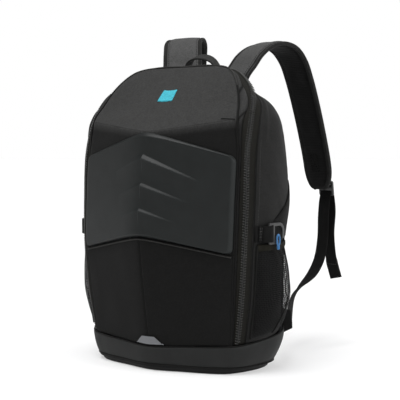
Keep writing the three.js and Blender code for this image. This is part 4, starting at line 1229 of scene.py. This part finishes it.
# Quilted lining inside the lid.
QUILT_Z = (222.0, 352.0)
QUILT_SWELL = 1.3
s, z = matched(spread(110) * 0.86, np.linspace(*QUILT_Z, 70)[:, None])
points = front(s, z) + (0, LID_FABRIC + 3 * GAP, 0)
pillows = np.abs(np.sin(points[..., 0] / 22)) ** 0.5 + np.abs(np.sin((z - QUILT_Z[0]) / 21)) ** 0.5
depth = np.stack([0 * s, 3.6 + QUILT_SWELL * pillows, 0 * s], -1)
lining = panel("lid_quilted_lining", points, points + depth, M["lining"], "lid", ["lid_foam_panel"])


# ---------------------------------------------------------------- back
BACK_Y = 86.4
BACK_FACE = 91.0
BACK_CENTRE = np.array([0.0, 255.0])


BACK_INSET = 3.0
BACK_FOOT = 66.0


def back_outline():
    """The back's edge seen from behind: over the top from foot to foot, then straight across."""
    point = line("back", np.linspace(0, LAST, 260))
    x = point[:, 0] * (1 - BACK_INSET / 155)
    z = np.maximum(point[:, 2] - np.where(point[:, 2] > 300, BACK_INSET, 0), BACK_FOOT)
    foot = np.linspace(x[-1], x[0], 60)[1:-1]
    return np.concatenate([np.stack([x, z], -1), np.stack([foot, np.full(58, BACK_FOOT)], -1)])


outline = back_outline()
rings = []
for share, y in ((0.02, BACK_Y), (0.6, BACK_Y), (1.0, BACK_Y), (1.0, BACK_Y + 2.6), (0.994, BACK_FACE - 1.0),
                 (0.982, BACK_FACE), (0.9, BACK_FACE + 0.2), (0.6, BACK_FACE), (0.02, BACK_FACE)):
    ring = BACK_CENTRE + (outline - BACK_CENTRE) * share
    rings.append(np.stack([ring[:, 0], np.full(len(ring), y), ring[:, 1]], -1))
stack("back_cover", rings, [M["black"], M["lining"]], [1, 1, 0, 0, 0, 0, 0, 0, 0], "bag", ["back_panel"])
tube("back_inner_binding", off_wall(ALL_SECTIONS, 0.975, -4.4), 3.0, M["lining"], "bag")


def corner_inset(share, half_size, corner):
    """How far a block with rounded corners is drawn in at -1..1 of its height."""
    into = np.clip((np.abs(share) * half_size - half_size + corner) / corner, 0, 1)
    return corner * (1 - np.sqrt(1 - into**2))


PAD_CORNER = 10.0
PAD_DEPTH = 7.4
PAD_EDGE = 1.5
PAD_Y = BACK_FACE + 0.2


def superellipse(angle):
    """A point of a unit square with round corners."""
    return [np.sign(c) * abs(c) ** 0.22 for c in (math.cos(angle), math.sin(angle))]


def cushion(name, centre, width, height, grooves, replaced):
    """A back pad: a crowned rounded block, swollen by the cloth simulation, with sewn grooves across it."""
    u = np.linspace(-1, 1, 46)[None, :]
    v = np.linspace(-1, 1, max(16, int(height / 4)))[:, None]
    x = u * (width / 2 - corner_inset(v, height / 2, PAD_CORNER))
    z = v * height / 2 + 0 * u
    crown = (np.clip(1 - np.abs(u) ** 6, 0, 1) * np.clip(1 - np.abs(v) ** (6 * height / width), 0, 1)) ** 0.5
    middle = (centre[0], PAD_Y, centre[1])
    shape = np.stack([x, PAD_EDGE + (PAD_DEPTH - PAD_EDGE) * crown, z], -1) + middle
    back = np.stack([x * 0.99, 0 * z, z * 0.99], -1) + middle
    piece = panel(name, shape, back, M["back_pad"], "bag", replaced)
    swell(piece, cap=2.2)
    points = np.empty(len(piece.data.vertices) * 3)
    piece.data.vertices.foreach_get("co", points)
    points = points.reshape(-1, 3) / MM
    facing = np.clip((points[:, 1] - PAD_Y - 1) / (PAD_DEPTH - 1), 0, 1)
    for groove in grooves:
        points[:, 1] -= crest(points[:, 2] - centre[1], groove, 2.6) * facing * (PAD_DEPTH - 2.5) * 0.75
    points[:, 1] = np.maximum(points[:, 1], PAD_Y - 0.1)
    piece.data.vertices.foreach_set("co", (points * MM).ravel())
    piece.data.update()
    edge = []
    for k in range(120):
        across, up = superellipse(2 * math.pi * k / 120)
        edge.append((centre[0] + across * (width / 2 + 1), PAD_Y + 1.0, centre[1] + up * (height / 2 + 1)))
    welt(name + "_piping", edge, 1.4, closed=True)


PAD_GROOVES = (-78, -39, 0, 39, 78)
for side, sign in zip(SIDES, (1, -1)):
    cushion(f"back_cushion_{side}", (66 * sign, 262), 88, 236, PAD_GROOVES, [f"back_pad_{side}"])
cushion("lumbar_cushion", (0, 106), 220, 58, (), ["lumbar_pad"])


def yoke_place(v):
    return np.stack([v[:, 0], BACK_FACE + 0.4 + v[:, 2], 404 + v[:, 1]], -1)


extruded("yoke_patch", rounded_outline(176, 34, 8), [], yoke_place, 3.4, M["black"], "bag", ["strap_yoke"],
         bevel=1.0)


def on_yoke(x, z):
    return (x, BACK_FACE + 3.9, z)


yoke_lines = []
for x0, x1 in ((-84, -30), (30, 84)):
    yoke_lines += crossed_box([on_yoke(x0, 390), on_yoke(x1, 390), on_yoke(x1, 418), on_yoke(x0, 418)])
yoke_lines += [[on_yoke(-84, 388), on_yoke(84, 388)], [on_yoke(-84, 420), on_yoke(84, 420)]]
stitches("yoke_stitching", yoke_lines, "bag")


# ---------------------------------------------------------------- inside the main compartment
def slab_piece(name, low, high, replaced, bulge_axis, corner=6.0):
    """A padded board inside the case: a rounded block with softly swollen faces."""
    low, high = np.array(low, float), np.array(high, float)
    centre, size = (low + high) / 2, high - low
    axes = [a for a in range(3) if a != bulge_axis]
    columns, rows = 40, 30
    u = np.linspace(-1, 1, columns)[None, :]
    v = np.linspace(-1, 1, rows)[:, None]
    half_w, half_h = size[axes[0]] / 2, size[axes[1]] / 2
    a = u * (half_w - corner_inset(v, half_h, corner))
    b = v * half_h + 0 * u
    crown = (np.clip(1 - u**8, 0, 1) * np.clip(1 - v**8, 0, 1)) ** 0.5
    t = size[bulge_axis] / 2 * (0.55 + 0.45 * crown)

    def points(sign):
        grid = np.zeros((rows, columns, 3))
        grid[..., axes[0]] = a
        grid[..., axes[1]] = b
        grid[..., bulge_axis] = sign * t
        return grid + centre

    piece = panel(name, points(1), points(-1), M["lining"], "bag", replaced)
    swell(piece, cap=1.5, voxel=4.0)


slab_piece("laptop_sleeve", (-131, 62, 67), (131, 66, 397), ["laptop_sleeve_panel"], 1, corner=18)
bound_edges = {"laptop_sleeve": (118, 64, 397, 2.6)}  # half length, y, z and radius
for name, z in (("lower", 168), ("upper", 288)):
    slab_piece(f"divider_{name}", (-127, -6, z - 4.5), (127, 60, z + 4.5), [f"padded_divider_{name}"], 2)
    bound_edges[f"divider_{name}"] = (120, -6.5, z, 2.4)
for name, (reach, y, z, radius) in bound_edges.items():
    edge = [(x, y, z) for x in np.linspace(-reach, reach, 40)]
    tube(f"{name}_binding", edge, radius, M["binding"], "bag")


# ---------------------------------------------------------------- side pockets and their hooks
POCKET = (0.12, 2.0)
HEM_TOP = 2.12
POCKET_V = (0.06, 0.9)
NET_THICKNESS = 0.25
HEM_THICKNESS = 2.2


def pocket_off(u, v):
    """How far the pocket's net stands off the wall, from its foot (u = 0) to its hem (u = 1)."""
    swollen = 1.2 + 15 * np.sin(np.pi * np.minimum(1, u * 1.02)) ** 0.7 * (1 - 0.25 * u) + 4.6 * u
    swollen = swollen + 5 * np.sin(np.pi * np.minimum(1, u) ** 1.6)
    return 2 + (swollen - 1) * np.clip(np.sin(np.pi * v), 0, 1) ** 0.6


for side in SIDES:
    u = np.linspace(0, 1, 80)[:, None]
    v = np.linspace(0, 1, 64)[None, :]
    section = POCKET[0] + (POCKET[1] - POCKET[0]) * u
    depth_v = POCKET_V[0] + (POCKET_V[1] - POCKET_V[0]) * v
    raw = off_wall(section, depth_v, pocket_off(u, v))
    gathers = 0.7 * np.sin(v * 34 + 2 * u) * np.clip((u - 0.55) / 0.45, 0, 1) * np.sin(np.pi * v)
    folds = ripple(raw, 38, 61) * 1.3 * np.sin(np.pi * u) * np.sin(np.pi * v)
    off = pocket_off(u, v) + gathers + folds
    outer = off_wall(section, depth_v, off)
    inner = off_wall(section, depth_v, off - NET_THICKNESS)
    net = panel(f"pocket_net_{side}", mirror(outer, side), mirror(inner, side), M["mesh"], "bag",
                [f"mesh_pocket_{side}"])
    u = np.linspace(0, 1, 8)[:, None]
    v = np.linspace(0, 1, 90)[None, :]
    section = POCKET[1] - 0.01 + (HEM_TOP - POCKET[1] + 0.01) * u
    depth_v = POCKET_V[0] + (POCKET_V[1] - POCKET_V[0]) * v
    off = pocket_off(1.0, v) + 0.5 + 0.35 * np.sin(v * 60) * np.sin(np.pi * u) + 0.5 * np.sin(np.pi * u)
    panel(f"pocket_elastic_{side}", mirror(off_wall(section, depth_v, off), side),
          mirror(off_wall(section, depth_v, off - HEM_THICKNESS), side), M["hem"], "bag",
          [f"pocket_hem_{side}"])
    for k, at_v in enumerate((POCKET_V[0] + 0.005, POCKET_V[1] - 0.005)):
        edge = off_wall(np.linspace(0.1, 2.1, 40), at_v, 1.8)
        tube(f"pocket_edge_{side}_{k}", mirror(edge, side), 1.7, M["binding"], "bag")
    seam = off_wall(np.linspace(POCKET[0], POCKET[1], 60), np.linspace(0.42, 0.66, 60),
                    pocket_off(np.linspace(0, 1, 60), np.linspace(0.43, 0.71, 60)) + 0.7)
    tube(f"pocket_fold_{side}", mirror(seam, side), 0.8, M["binding"], "bag")

HOOK_SECTION = 2.33
HOOK_LENGTH, HOOK_HEIGHT, HOOK_THICKNESS = 40.0, 32.0, 3.4
HOOK_BEND = 13.0
HOOK_ARM = 5.0  # width of the hook's arms
HOOK_LIFT = 6.0  # the hook's own zero stands this far off the wall


hook_start, hook_end = off_wall(HOOK_SECTION, np.array([0.2, 0.53]), np.full(2, HOOK_LIFT))
hook_along = unit((hook_end - hook_start) * (1, 1, 0))
hook_off = np.array([hook_along[1], -hook_along[0], 0.0])


def hook_space(side):
    """Maps the hook's own x (along the wall), y (up) and z (off the wall) to the case."""
    def at(v):
        v = np.asarray(v, float)
        point = hook_start + v[..., :1] * hook_along + v[..., 1:2] * (0, 0, 1) + v[..., 2:3] * hook_off
        return mirror(point, side)
    return at


def hook_outline():
    """Webbing bar, a short lower arm, and an upper arm that bends down into the hook."""
    half, far, arm = HOOK_HEIGHT / 2, HOOK_LENGTH, HOOK_ARM
    bend = np.linspace(0, math.pi / 2, 9)

    def arc(radius, angles):
        x, y = far - HOOK_BEND, half - HOOK_BEND
        return [(x + radius * math.sin(a), y + radius * math.cos(a)) for a in angles]

    points = [(2, -half), (far - 15, -half), (far - 15, -half + arm), (14, -half + arm), (14, half - arm)]
    points += arc(HOOK_BEND - arm, bend) + [(far - arm, -half + 8), (far, -half + 8)]
    points += arc(HOOK_BEND, bend[::-1])
    points += [(2, half), (0.6, half - 0.6), (0, half - 2), (0, -half + 2), (0.6, -half + 0.6)]
    return points


SLOT = [(4.6, -13), (4.6, 13), (9.4, 13), (9.4, -13)]
WEBBING_WRAP = [  # in through the slot, over the bar and back
    (1.0, 0, -2.3), (4.6, 0, -2.2), (7.0, 0, -0.6), (7.5, 0, 2.0), (6.4, 0, 4.8), (3.0, 0, 5.9),
    (-1.4, 0, 5.5), (-5, 0, 3.4), (-9, 0, 0.4),
]
WING_LOW, WING_HIGH, WING_FLARE = 2.17, 2.45, 0.92  # sections of the wing's edges, and its spread at the back
CORD_Z = HOOK_THICKNESS + GAP + 1.5
CRIMP_RADII = (1.6, 2.2, 2.4, 2.4, 2.4, 2.4, 2.2, 1.4)


def ellipse(x, y, x_radius, y_radius, count):
    angles = np.linspace(0, 2 * math.pi, count, endpoint=False)
    return [(x + x_radius * math.cos(a), y + y_radius * math.sin(a)) for a in angles]


for side in SIDES:
    at = hook_space(side)
    extruded(f"gear_hook_{side}", hook_outline(), [SLOT], at, HOOK_THICKNESS, M["acetal"], f"hook_{side}",
             [f"side_hook_{side}"], bevel=0.8)
    run_in = mirror(off_wall(HOOK_SECTION, np.linspace(0.015, 0.17, 8), 1.4), side)
    run_back = mirror(off_wall(HOOK_SECTION, np.array([0.115, 0.09, 0.07]), 3.3), side)
    curve = catmull(np.vstack([run_in, at(WEBBING_WRAP), run_back]))(np.linspace(0, 1, 90))
    band(f"compression_webbing_{side}", curve, (0, 0, 1), 24.5, 1.7, M["webbing"], "bag",
         [f"compression_strap_{side}"], corner=0.7)
    tack = [mirror(off_wall(HOOK_SECTION + d, v, 4.4), side) for v in (0.075, 0.105) for d in (-0.14, 0.14)]
    tack_lines = [[tack[a], tack[b]] for a, b in ((0, 1), (2, 3), (0, 3), (1, 2))]
    stitches(f"compression_tack_{side}", tack_lines, "bag")
    loop = [(x, y, CORD_Z) for x, y in ellipse(20, -10, 3.8, 8.0, 48)]
    tube(f"cord_loop_{side}", at(loop), 1.45, M["blue"], f"loop_{side}", closed=True,
         replaced=[f"pull_loop_{side}"])
    crimp = at([(20, -17.5 - d, CORD_Z) for d in np.linspace(0, 7, len(CRIMP_RADII))])
    tube(f"cord_end_{side}", crimp, CRIMP_RADII, M["blue"], f"loop_{side}")

    u = np.linspace(0, 1, 26)[:, None]
    v = np.linspace(0, 1, 40)[None, :]
    depth_v = 0.23 + 0.755 * v
    section = WING_LOW + (WING_HIGH + WING_FLARE * v**1.1 - WING_LOW) * u
    wing_off = 1.6 + 1.6 * v + 1.4 * np.sin(np.pi * u) * np.sin(np.pi * v)
    outer = off_wall(section, depth_v, wing_off)
    rolled = quarter(border_distance(outer), 4) * 1.2
    outer = off_wall(section, depth_v, wing_off - rolled)
    inner = off_wall(section, depth_v, 0.6 + 0 * wing_off)
    panel(f"wing_{side}", mirror(outer, side), mirror(inner, side), M["black"], "bag", [f"side_wing_{side}"])
    welt(f"wing_edge_{side}", mirror(outer[-1], side), 1.1)


# ---------------------------------------------------------------- zip sliders and pulls
zip_top = line("zip", np.array([10.0]))[0]
top_across, top_normal = [a[0] for a in zip_frame(np.array([10.0]))]
slider_at = zip_top + top_normal * (COIL_RAISE + GAP)
CORD_START, CORD_LENGTH = 12.4, 17.0


def slider_space(x_shift):
    def at(v):
        v = np.asarray(v, float)
        return (slider_at * (0, 1, 1) + (x_shift, 0, 0)
                + v[..., :1] * (1, 0, 0) + v[..., 1:2] * top_across + v[..., 2:3] * top_normal)
    return at


for side, sign in zip(SIDES, (1, -1)):
    at = slider_space(9 * sign)
    extruded(f"slider_body_{side}", rounded_outline(12, 9, 3), [], at, 1.5, M["zinc"], f"slider_{side}",
             [f"zip_slider_{side}"], bevel=0.5)
    bridge = at([(0, y, 1.4 + 2.0 * math.sin(math.pi * (y + 3.5) / 7)) for y in np.linspace(-3.5, 3.5, 14)])
    tube(f"slider_bridge_{side}", bridge, 0.8, M["zinc"], f"slider_{side}")
    plate = [(x, y + 9) for x, y in rounded_outline(6.6, 14, 2.4)]
    holes = [ellipse(0, 5.0, 1.9, 1.6, 16), ellipse(0, 13.2, 1.9, 1.3, 16)]

    def lifted(v, at=at):
        return at(np.asarray(v) + (0, -1, 1.8))

    extruded(f"pull_plate_{side}", plate, holes, lifted, 1.5, M["zinc"], f"pull_{side}", [f"zip_pull_{side}"],
             bevel=0.45)
    cord = [(2.0 * math.sin(a), CORD_START + CORD_LENGTH * (1 - math.cos(a)) / 2, 2.6)
            for a in np.linspace(0, 2 * math.pi, 40, endpoint=False)]
    tube(f"pull_cord_{side}", at(cord), 1.15, M["webbing"], f"pull_{side}", closed=True)


# ---------------------------------------------------------------- haul handle
HANDLE_HALF, HANDLE_BASE_Z, HANDLE_RISE = 32.0, 447.0, 43.0
HANDLE_SHIFT = 5.0  # the loop stands a little right of the centre line
HANDLE_SKEW = -9.0  # and its top hangs to the left
HANDLE_SIDE = [(1.0, 91, 0.0), (0.95, 90.4, 0.45), (0.7, 89.4, 0.82), (0.3, 88.6, 0.98)]


def handle_half(sign):
    """One side of the loop, from its foot up to the middle."""
    points = []
    for out, y, lift in HANDLE_SIDE:
        x = HANDLE_SHIFT + sign * HANDLE_HALF * out + HANDLE_SKEW * lift
        points.append((x, y, HANDLE_BASE_Z + HANDLE_RISE * lift))
    return points


handle_points = handle_half(-1) + handle_half(1)[::-1]
handle_curve = catmull(handle_points)(np.linspace(0, 1, 90))
lean = np.sin(np.linspace(0, math.pi, 90)) ** 2
handle_across = unit(np.stack([0 * lean, 0 * lean + 1, 0.4 * lean], -1))
band("handle_webbing", handle_curve, handle_across, lambda t: 12 + 10 * math.sin(math.pi * t), 3.0, M["grip"],
     "handle", ["haul_handle"], corner=1.1)
handle_top = np.cross(np.gradient(handle_curve, axis=0), handle_across)
handle_top = unit(handle_top) * np.sign(handle_top[45, 2]) * 1.6
handle_lines = [(handle_curve + handle_top + handle_across * d)[12:-12] for d in (-6, 6)]
stitches("handle_stitching", handle_lines, "handle")


# ---------------------------------------------------------------- shoulder straps
STRAP_ROOT = np.array([42.0, 94.0])
STRAPS = {
    "right": {"heading": (0.29, 0.957), "arch": 1.0, "bow": 20, "sway": 0, "roll": 0.0},
    "left": {"heading": (0.551, 0.8345), "arch": 1.22, "bow": 6, "sway": -12, "roll": -0.09},
}
STRAP_LOW_Z = 446
STRAP_ROUTE = [
    (13, 446), (21, 459), (36, 475), (52, 493), (75, 508), (105, 515), (133, 509), (154, 490),
    (169, 461), (186, 416), (202, 366), (215, 318), (223, 272),
]
LOWER_ROUTE = [
    (0, 222), (0.01, 182), (0.06, 148), (0.17, 124), (0.34, 108), (0.5, 98), (0.67, 87), (0.84, 76), (1, 70),
]
ANCHOR = (154.0, 97.0)
STRAP_WIDTHS = (65.0, 60.0)
BINDING_ZONE = 7.5
BINDING_WIDTH, BINDING_THICKNESS = 8.2, 7.0
BINDING_INSET = 3.1
SEAM_INSET = 8.2
FOAM_HALF = 5.2
EDGE_HALF = 3.0
STRAP_STEPS = 150
WEBBING_WIDTH, WEBBING_THICKNESS = 25.0, 1.8
BOX_STITCH = (133, 141)  # steps of the strap between which the webbing is sewn down
BOX_HALF = 8.0
FACE_WEBBING_STEPS = slice(79, 143, 6)  # where the webbing lies on the pad
FACE_WEBBING_END = [(232.5, 289), (238.0, 284.6), (240.6, 281.6), (239.6, 279.6), (236.6, 279.4)]
LOWER_WEBBING_START = [
    (235.4, 277.4, 0.5), (237.2, 275.2, 0.5), (240.2, 273.4, 0.5), (240.6, 269.6, 0.5), (237.0, 260, 0.6),
    (234, 249, 1),
]
TAIL_ROUTE = [(240.8, 272, 2), (243.6, 262, 2), (246, 232, 4), (243, 190, 4), (245, 145, 8), (250, 112, 15)]
LOCK_AT = (238.0, 284.0)
LOCK_LEAN = math.pi / 2 + 0.12
LOCK_SLOT = 2.6
ANCHOR_TAB = [  # corners of three cross sections, from the seam out
    [(136, 92.0, 44), (136, 92.0, 92), (137, 96.0, 92), (137, 96.0, 44)],
    [(150, 94.5, 52), (147, 94.5, 88), (146, 98.5, 88), (150, 98.5, 52)],
    [(159, 102.0, 57), (157, 102.0, 84), (156, 106.0, 84), (158, 106.0, 57)],
]


def arched(z, arch):
    """The strap's height, with its arch over the shoulder made higher."""
    return STRAP_LOW_Z + max(0, z - STRAP_LOW_Z) * arch + min(0, z - STRAP_LOW_Z)


def swayed(reach, sway):
    """The strap's sideways shift, largest halfway down."""
    return sway * math.sin(math.pi * min(1, max(0, (reach - 60) / 162))) ** 2


def tail_thickness(q):
    """Plain webbing, folded double and sewn past 0.8 of its length."""
    return WEBBING_THICKNESS + 2.6 / (1 + math.exp(-(q - 0.8) * 160))


for side, values in STRAPS.items():
    body = f"strap_{side}"
    heading = np.array(values["heading"])
    across = unit(np.array([heading[1], -heading[0], 0.0]))

    def spot(reach, z, shift=0.0):
        x, y = STRAP_ROOT + heading * reach + np.array([heading[1], -heading[0]]) * shift
        return np.array([x, y, z])

    t = np.linspace(0, 1, STRAP_STEPS)
    route = [spot(r, arched(z, values["arch"]), swayed(r, values["sway"])) for r, z in STRAP_ROUTE]
    centre = catmull(route)(t)
    tangent = unit(np.gradient(centre, axis=0))
    rolled = np.exp(-((t - 0.3) / 0.2) ** 2)[:, None] * (0, 0, values["roll"])
    across_rows = unit(across + rolled)
    out = np.cross(across_rows, tangent)
    half_width = (STRAP_WIDTHS[0] + (STRAP_WIDTHS[1] - STRAP_WIDTHS[0]) * t) / 2
    ending = np.clip((t - 0.93) / 0.07, 0, 1)
    half_width = half_width * np.minimum(1, 0.7 + 10 * t) * (0.42 + 0.58 * np.sqrt(1 - ending**2 + 1e-6))
    x = np.linspace(-1, 1, 40)[None, :] * half_width[:, None]
    core = np.clip(np.abs(x) / np.maximum(half_width - BINDING_ZONE, 4)[:, None], 0, 1)
    ends = np.clip(np.minimum(t / 0.02, (1 - t) / 0.035), 0, 1)[:, None] ** 0.5
    puff = EDGE_HALF + (FOAM_HALF - EDGE_HALF) * np.clip(1 - core**5, 0, 1) ** 0.6 * ends
    surface = centre[:, None] + x[..., None] * across_rows[:, None]
    crumple = ripple(surface, 30, 71) * 0.35 * (1 - core**4)
    outer = surface + out[:, None] * (puff + crumple)[..., None]
    inner = surface - out[:, None] * (puff + crumple)[..., None]
    pad = panel(f"strap_pad_{side}", mirror(outer, side), mirror(inner, side), [M["strap_face"], M["pad"]],
                body, [f"shoulder_strap_{side}"])
    for k, sign in enumerate((1, -1)):
        edge = centre + across_rows * ((half_width - BINDING_INSET) * sign)[:, None]
        band(f"strap_binding_{side}_{k}", mirror(edge, side), mirror(across_rows, side), BINDING_WIDTH,
             BINDING_THICKNESS, M["strap_edge"], body, corner=3.0, steps=5)
    end_line = np.vstack([surface[-1, ::4], surface[-1, -1:]])
    tube(f"strap_end_binding_{side}", mirror(end_line, side), 2.7, M["binding"], body)
    rows = slice(4, STRAP_STEPS - 12)
    lines = []
    for sign in (1, -1):
        seam = centre + across_rows * ((half_width - SEAM_INSET) * sign)[:, None]
        lines.append(mirror(seam[rows] + out[rows] * 3.8, side))
        lines.append(mirror(seam[rows] - out[rows] * 3.8, side))
    first, last = BOX_STITCH
    corners = [centre[k] - out[k] * (FOAM_HALF + 0.3) + across * w for k, w in
               ((first, -BOX_HALF), (first, BOX_HALF), (last, BOX_HALF), (last, -BOX_HALF))]
    lines += [mirror(pair, side) for pair in crossed_box(corners)]
    stitches(f"strap_stitching_{side}", lines, body, M["binding"])

    face = centre + out * (FOAM_HALF + 1.4)
    end_points = [spot(*p) for p in FACE_WEBBING_END]
    webbing_path = catmull(np.vstack([face[FACE_WEBBING_STEPS], end_points]))(np.linspace(0, 1, 110))
    band(f"strap_face_webbing_{side}", mirror(webbing_path, side), mirror(across, side), WEBBING_WIDTH,
         WEBBING_THICKNESS, M["webbing"], body, [f"strap_webbing_{side}"], corner=0.7)

    def lock_place(v, side=side, heading=heading, across=across, lock_top=spot(*LOCK_AT)):
        y = v[:, 1] * math.cos(LOCK_LEAN) - (v[:, 2] - 2) * math.sin(LOCK_LEAN)
        z = v[:, 1] * math.sin(LOCK_LEAN) + (v[:, 2] - 2) * math.cos(LOCK_LEAN)
        flat = np.array([*heading, 0.0])
        return mirror(lock_top + v[:, :1] * across + y[:, None] * flat + z[:, None] * (0, 0, 1), side)

    outline = [(x, y - 13) for x, y in rounded_outline(33, 26, 3)]
    slots = [[(-13, low), (-13, low + LOCK_SLOT), (13, low + LOCK_SLOT), (13, low)]
             for low in (-19.4, -11, -5.8)]
    extruded(f"ladder_lock_body_{side}", outline, slots, lock_place, 4, M["acetal"], body,
             [f"ladder_lock_{side}"], bevel=0.9)

    start = spot(230, 0, 2)
    low_points = [spot(*p) for p in LOWER_WEBBING_START]
    for share, z in LOWER_ROUTE:
        x = start[0] + (ANCHOR[0] - start[0]) * share - values["bow"] * math.sin(math.pi * share)
        low_points.append((x, start[1] + (ANCHOR[1] + 7 - start[1]) * share, z))
    q = np.linspace(0, 1, 130)
    lower = catmull(low_points)(q)
    turn = np.clip((q - 0.58) / 0.4, 0, 1)
    turn = (turn * turn * (3 - 2 * turn))[:, None]
    lower_across = unit(across * (1 - turn) + np.array([-0.29, 0.1, 0.957]) * turn)
    band(f"lower_strap_{side}", mirror(lower, side), mirror(lower_across, side), WEBBING_WIDTH,
         WEBBING_THICKNESS, M["webbing"], body, [f"lower_webbing_{side}"], corner=0.7)

    tail = catmull([spot(*p) for p in TAIL_ROUTE])(np.linspace(0, 1, 100))
    band(f"tail_{side}", mirror(tail, side), mirror(across, side), WEBBING_WIDTH, tail_thickness,
         M["webbing"], f"tail_{side}", [f"strap_tail_{side}"], corner=0.8)
    inwards = np.array([*-heading, 0])
    hem_line = [tail[84] + across * w + inwards * 2.3 for w in np.linspace(-11.5, 11.5, 12)]
    stitches(f"tail_hem_{side}", [mirror(hem_line, side)], f"tail_{side}")

    tab = np.array(ANCHOR_TAB, float)
    rings = catmull(tab.reshape(3, -1))(np.linspace(0, 1, 24)).reshape(24, 4, 3)
    fine = np.concatenate([catmull(ring, closed=True)(np.arange(16) / 16) for ring in rings])
    verts = mirror(fine, side)
    build(f"anchor_tab_{side}", verts, orient(verts, capped_faces(24, 16)), M["webbing"], "bag",
          [f"strap_anchor_{side}"])


# ---------------------------------------------------------------- stitching on the body
def seam_on(surface, u, v, lift):
    """A sewn line on a surface, lifted off it."""
    u, v = matched(u, v)
    return surface(u, v) + outward(surface, u, v, 0.004) * lift


lid_lines = [seam_on(front, 0.035 * sign, np.linspace(46, 200, 60), -0.2) for sign in (1, -1)]
stitches("lid_stitching", lid_lines, "lid", M["black"])
around = np.linspace(0.2, LAST - 0.2, 300)
body_lines = [off_wall(around, 0.955, 0.15), off_wall(around, 0.062, -0.1)]
for section in (SHOULDER - 0.12, SHOULDER + 0.15):
    body_lines += [off_wall(one, np.linspace(0.08, 0.92, 40), -0.1) for one in (section, LAST - section)]
stitches("body_stitching", body_lines, "bag")


# ---------------------------------------------------------------- stage and light
FLOOR_GLOW = 0.5  # keeps the paper white under the case, as in a lit studio sweep
floor_mesh = bpy.data.meshes.new("floor")
floor_mesh.from_pydata([(-60, -60, 0), (60, -60, 0), (60, 60, 0), (-60, 60, 0)], [], [(0, 1, 2, 3)])
floor_paper = Shader("floor_paper", 0.9, specular=0.1)
floor_paper.colour(floor_paper.ramp(floor_paper.noise(900, 2), (0.405, 0.405, 0.41), (0.425, 0.425, 0.425)))
floor_paper.bsdf.inputs["Emission Color"].default_value = (1, 1, 1, 1)
floor_paper.bsdf.inputs["Emission Strength"].default_value = FLOOR_GLOW
floor_mesh.materials.append(floor_paper.material)
floor = bpy.data.objects.new("floor", floor_mesh)
bpy.context.scene.collection.objects.link(floor)


def sky():
    """White all round at the horizon; above it, darker overhead and on the camera's side."""
    world = bpy.data.worlds.new("studio")
    world.use_nodes = True
    nodes, links = world.node_tree.nodes, world.node_tree.links
    direction = nodes.new("ShaderNodeSeparateXYZ")
    links.new(nodes.new("ShaderNodeTexCoord").outputs["Generated"], direction.inputs[0])
    spans = []
    for axis, start, end, low, high in ((1, -0.25, 0.25, 0.24, 1.0), (2, 0.3, 0.6, 1.0, 0.3),
                                        (2, 0.18, 0.3, 1.0, 0.0), (0, -0.9, -0.2, 0.5, 1.0)):
        span = nodes.new("ShaderNodeMapRange")
        span.interpolation_type = "SMOOTHSTEP"
        for socket, value in (("From Min", start), ("From Max", end), ("To Min", low), ("To Max", high)):
            span.inputs[socket].default_value = value
        links.new(direction.outputs[axis], span.inputs["Value"])
        spans.append(span.outputs[0])
    behind, overhead, horizon, right = spans

    def combined(operation, a, b):
        node = nodes.new("ShaderNodeMath")
        node.operation = operation
        links.new(a, node.inputs[0])
        links.new(b, node.inputs[1])
        return node.outputs[0]

    sides = combined("MAXIMUM", combined("MULTIPLY", behind, right), horizon)
    links.new(combined("MULTIPLY", sides, overhead), nodes["Background"].inputs["Color"])
    nodes["Background"].inputs["Strength"].default_value = 1.0
    bpy.context.scene.world = world


def lamp(name, kind, location, aim, energy, **settings):
    light = bpy.data.lights.new(name, kind)
    light.energy = energy
    for key, value in settings.items():
        setattr(light, key, value)
    holder = bpy.data.objects.new(name, light)
    holder.location = location
    holder.rotation_euler = (Vector(aim) - Vector(location)).to_track_quat("-Z", "Y").to_euler()
    bpy.context.scene.collection.objects.link(holder)


sky()
lamp("ceiling", "SUN", (-0.1, -0.5, 2.2), (0, 0, 0.25), 3.4, angle=math.radians(42))
lamp("right_softbox", "AREA", (2.0, 0.2, 1.3), (0, 0, 0.25), 16, shape="RECTANGLE", size=0.9, size_y=1.4)
bpy.context.scene.view_settings.view_transform = "Standard"
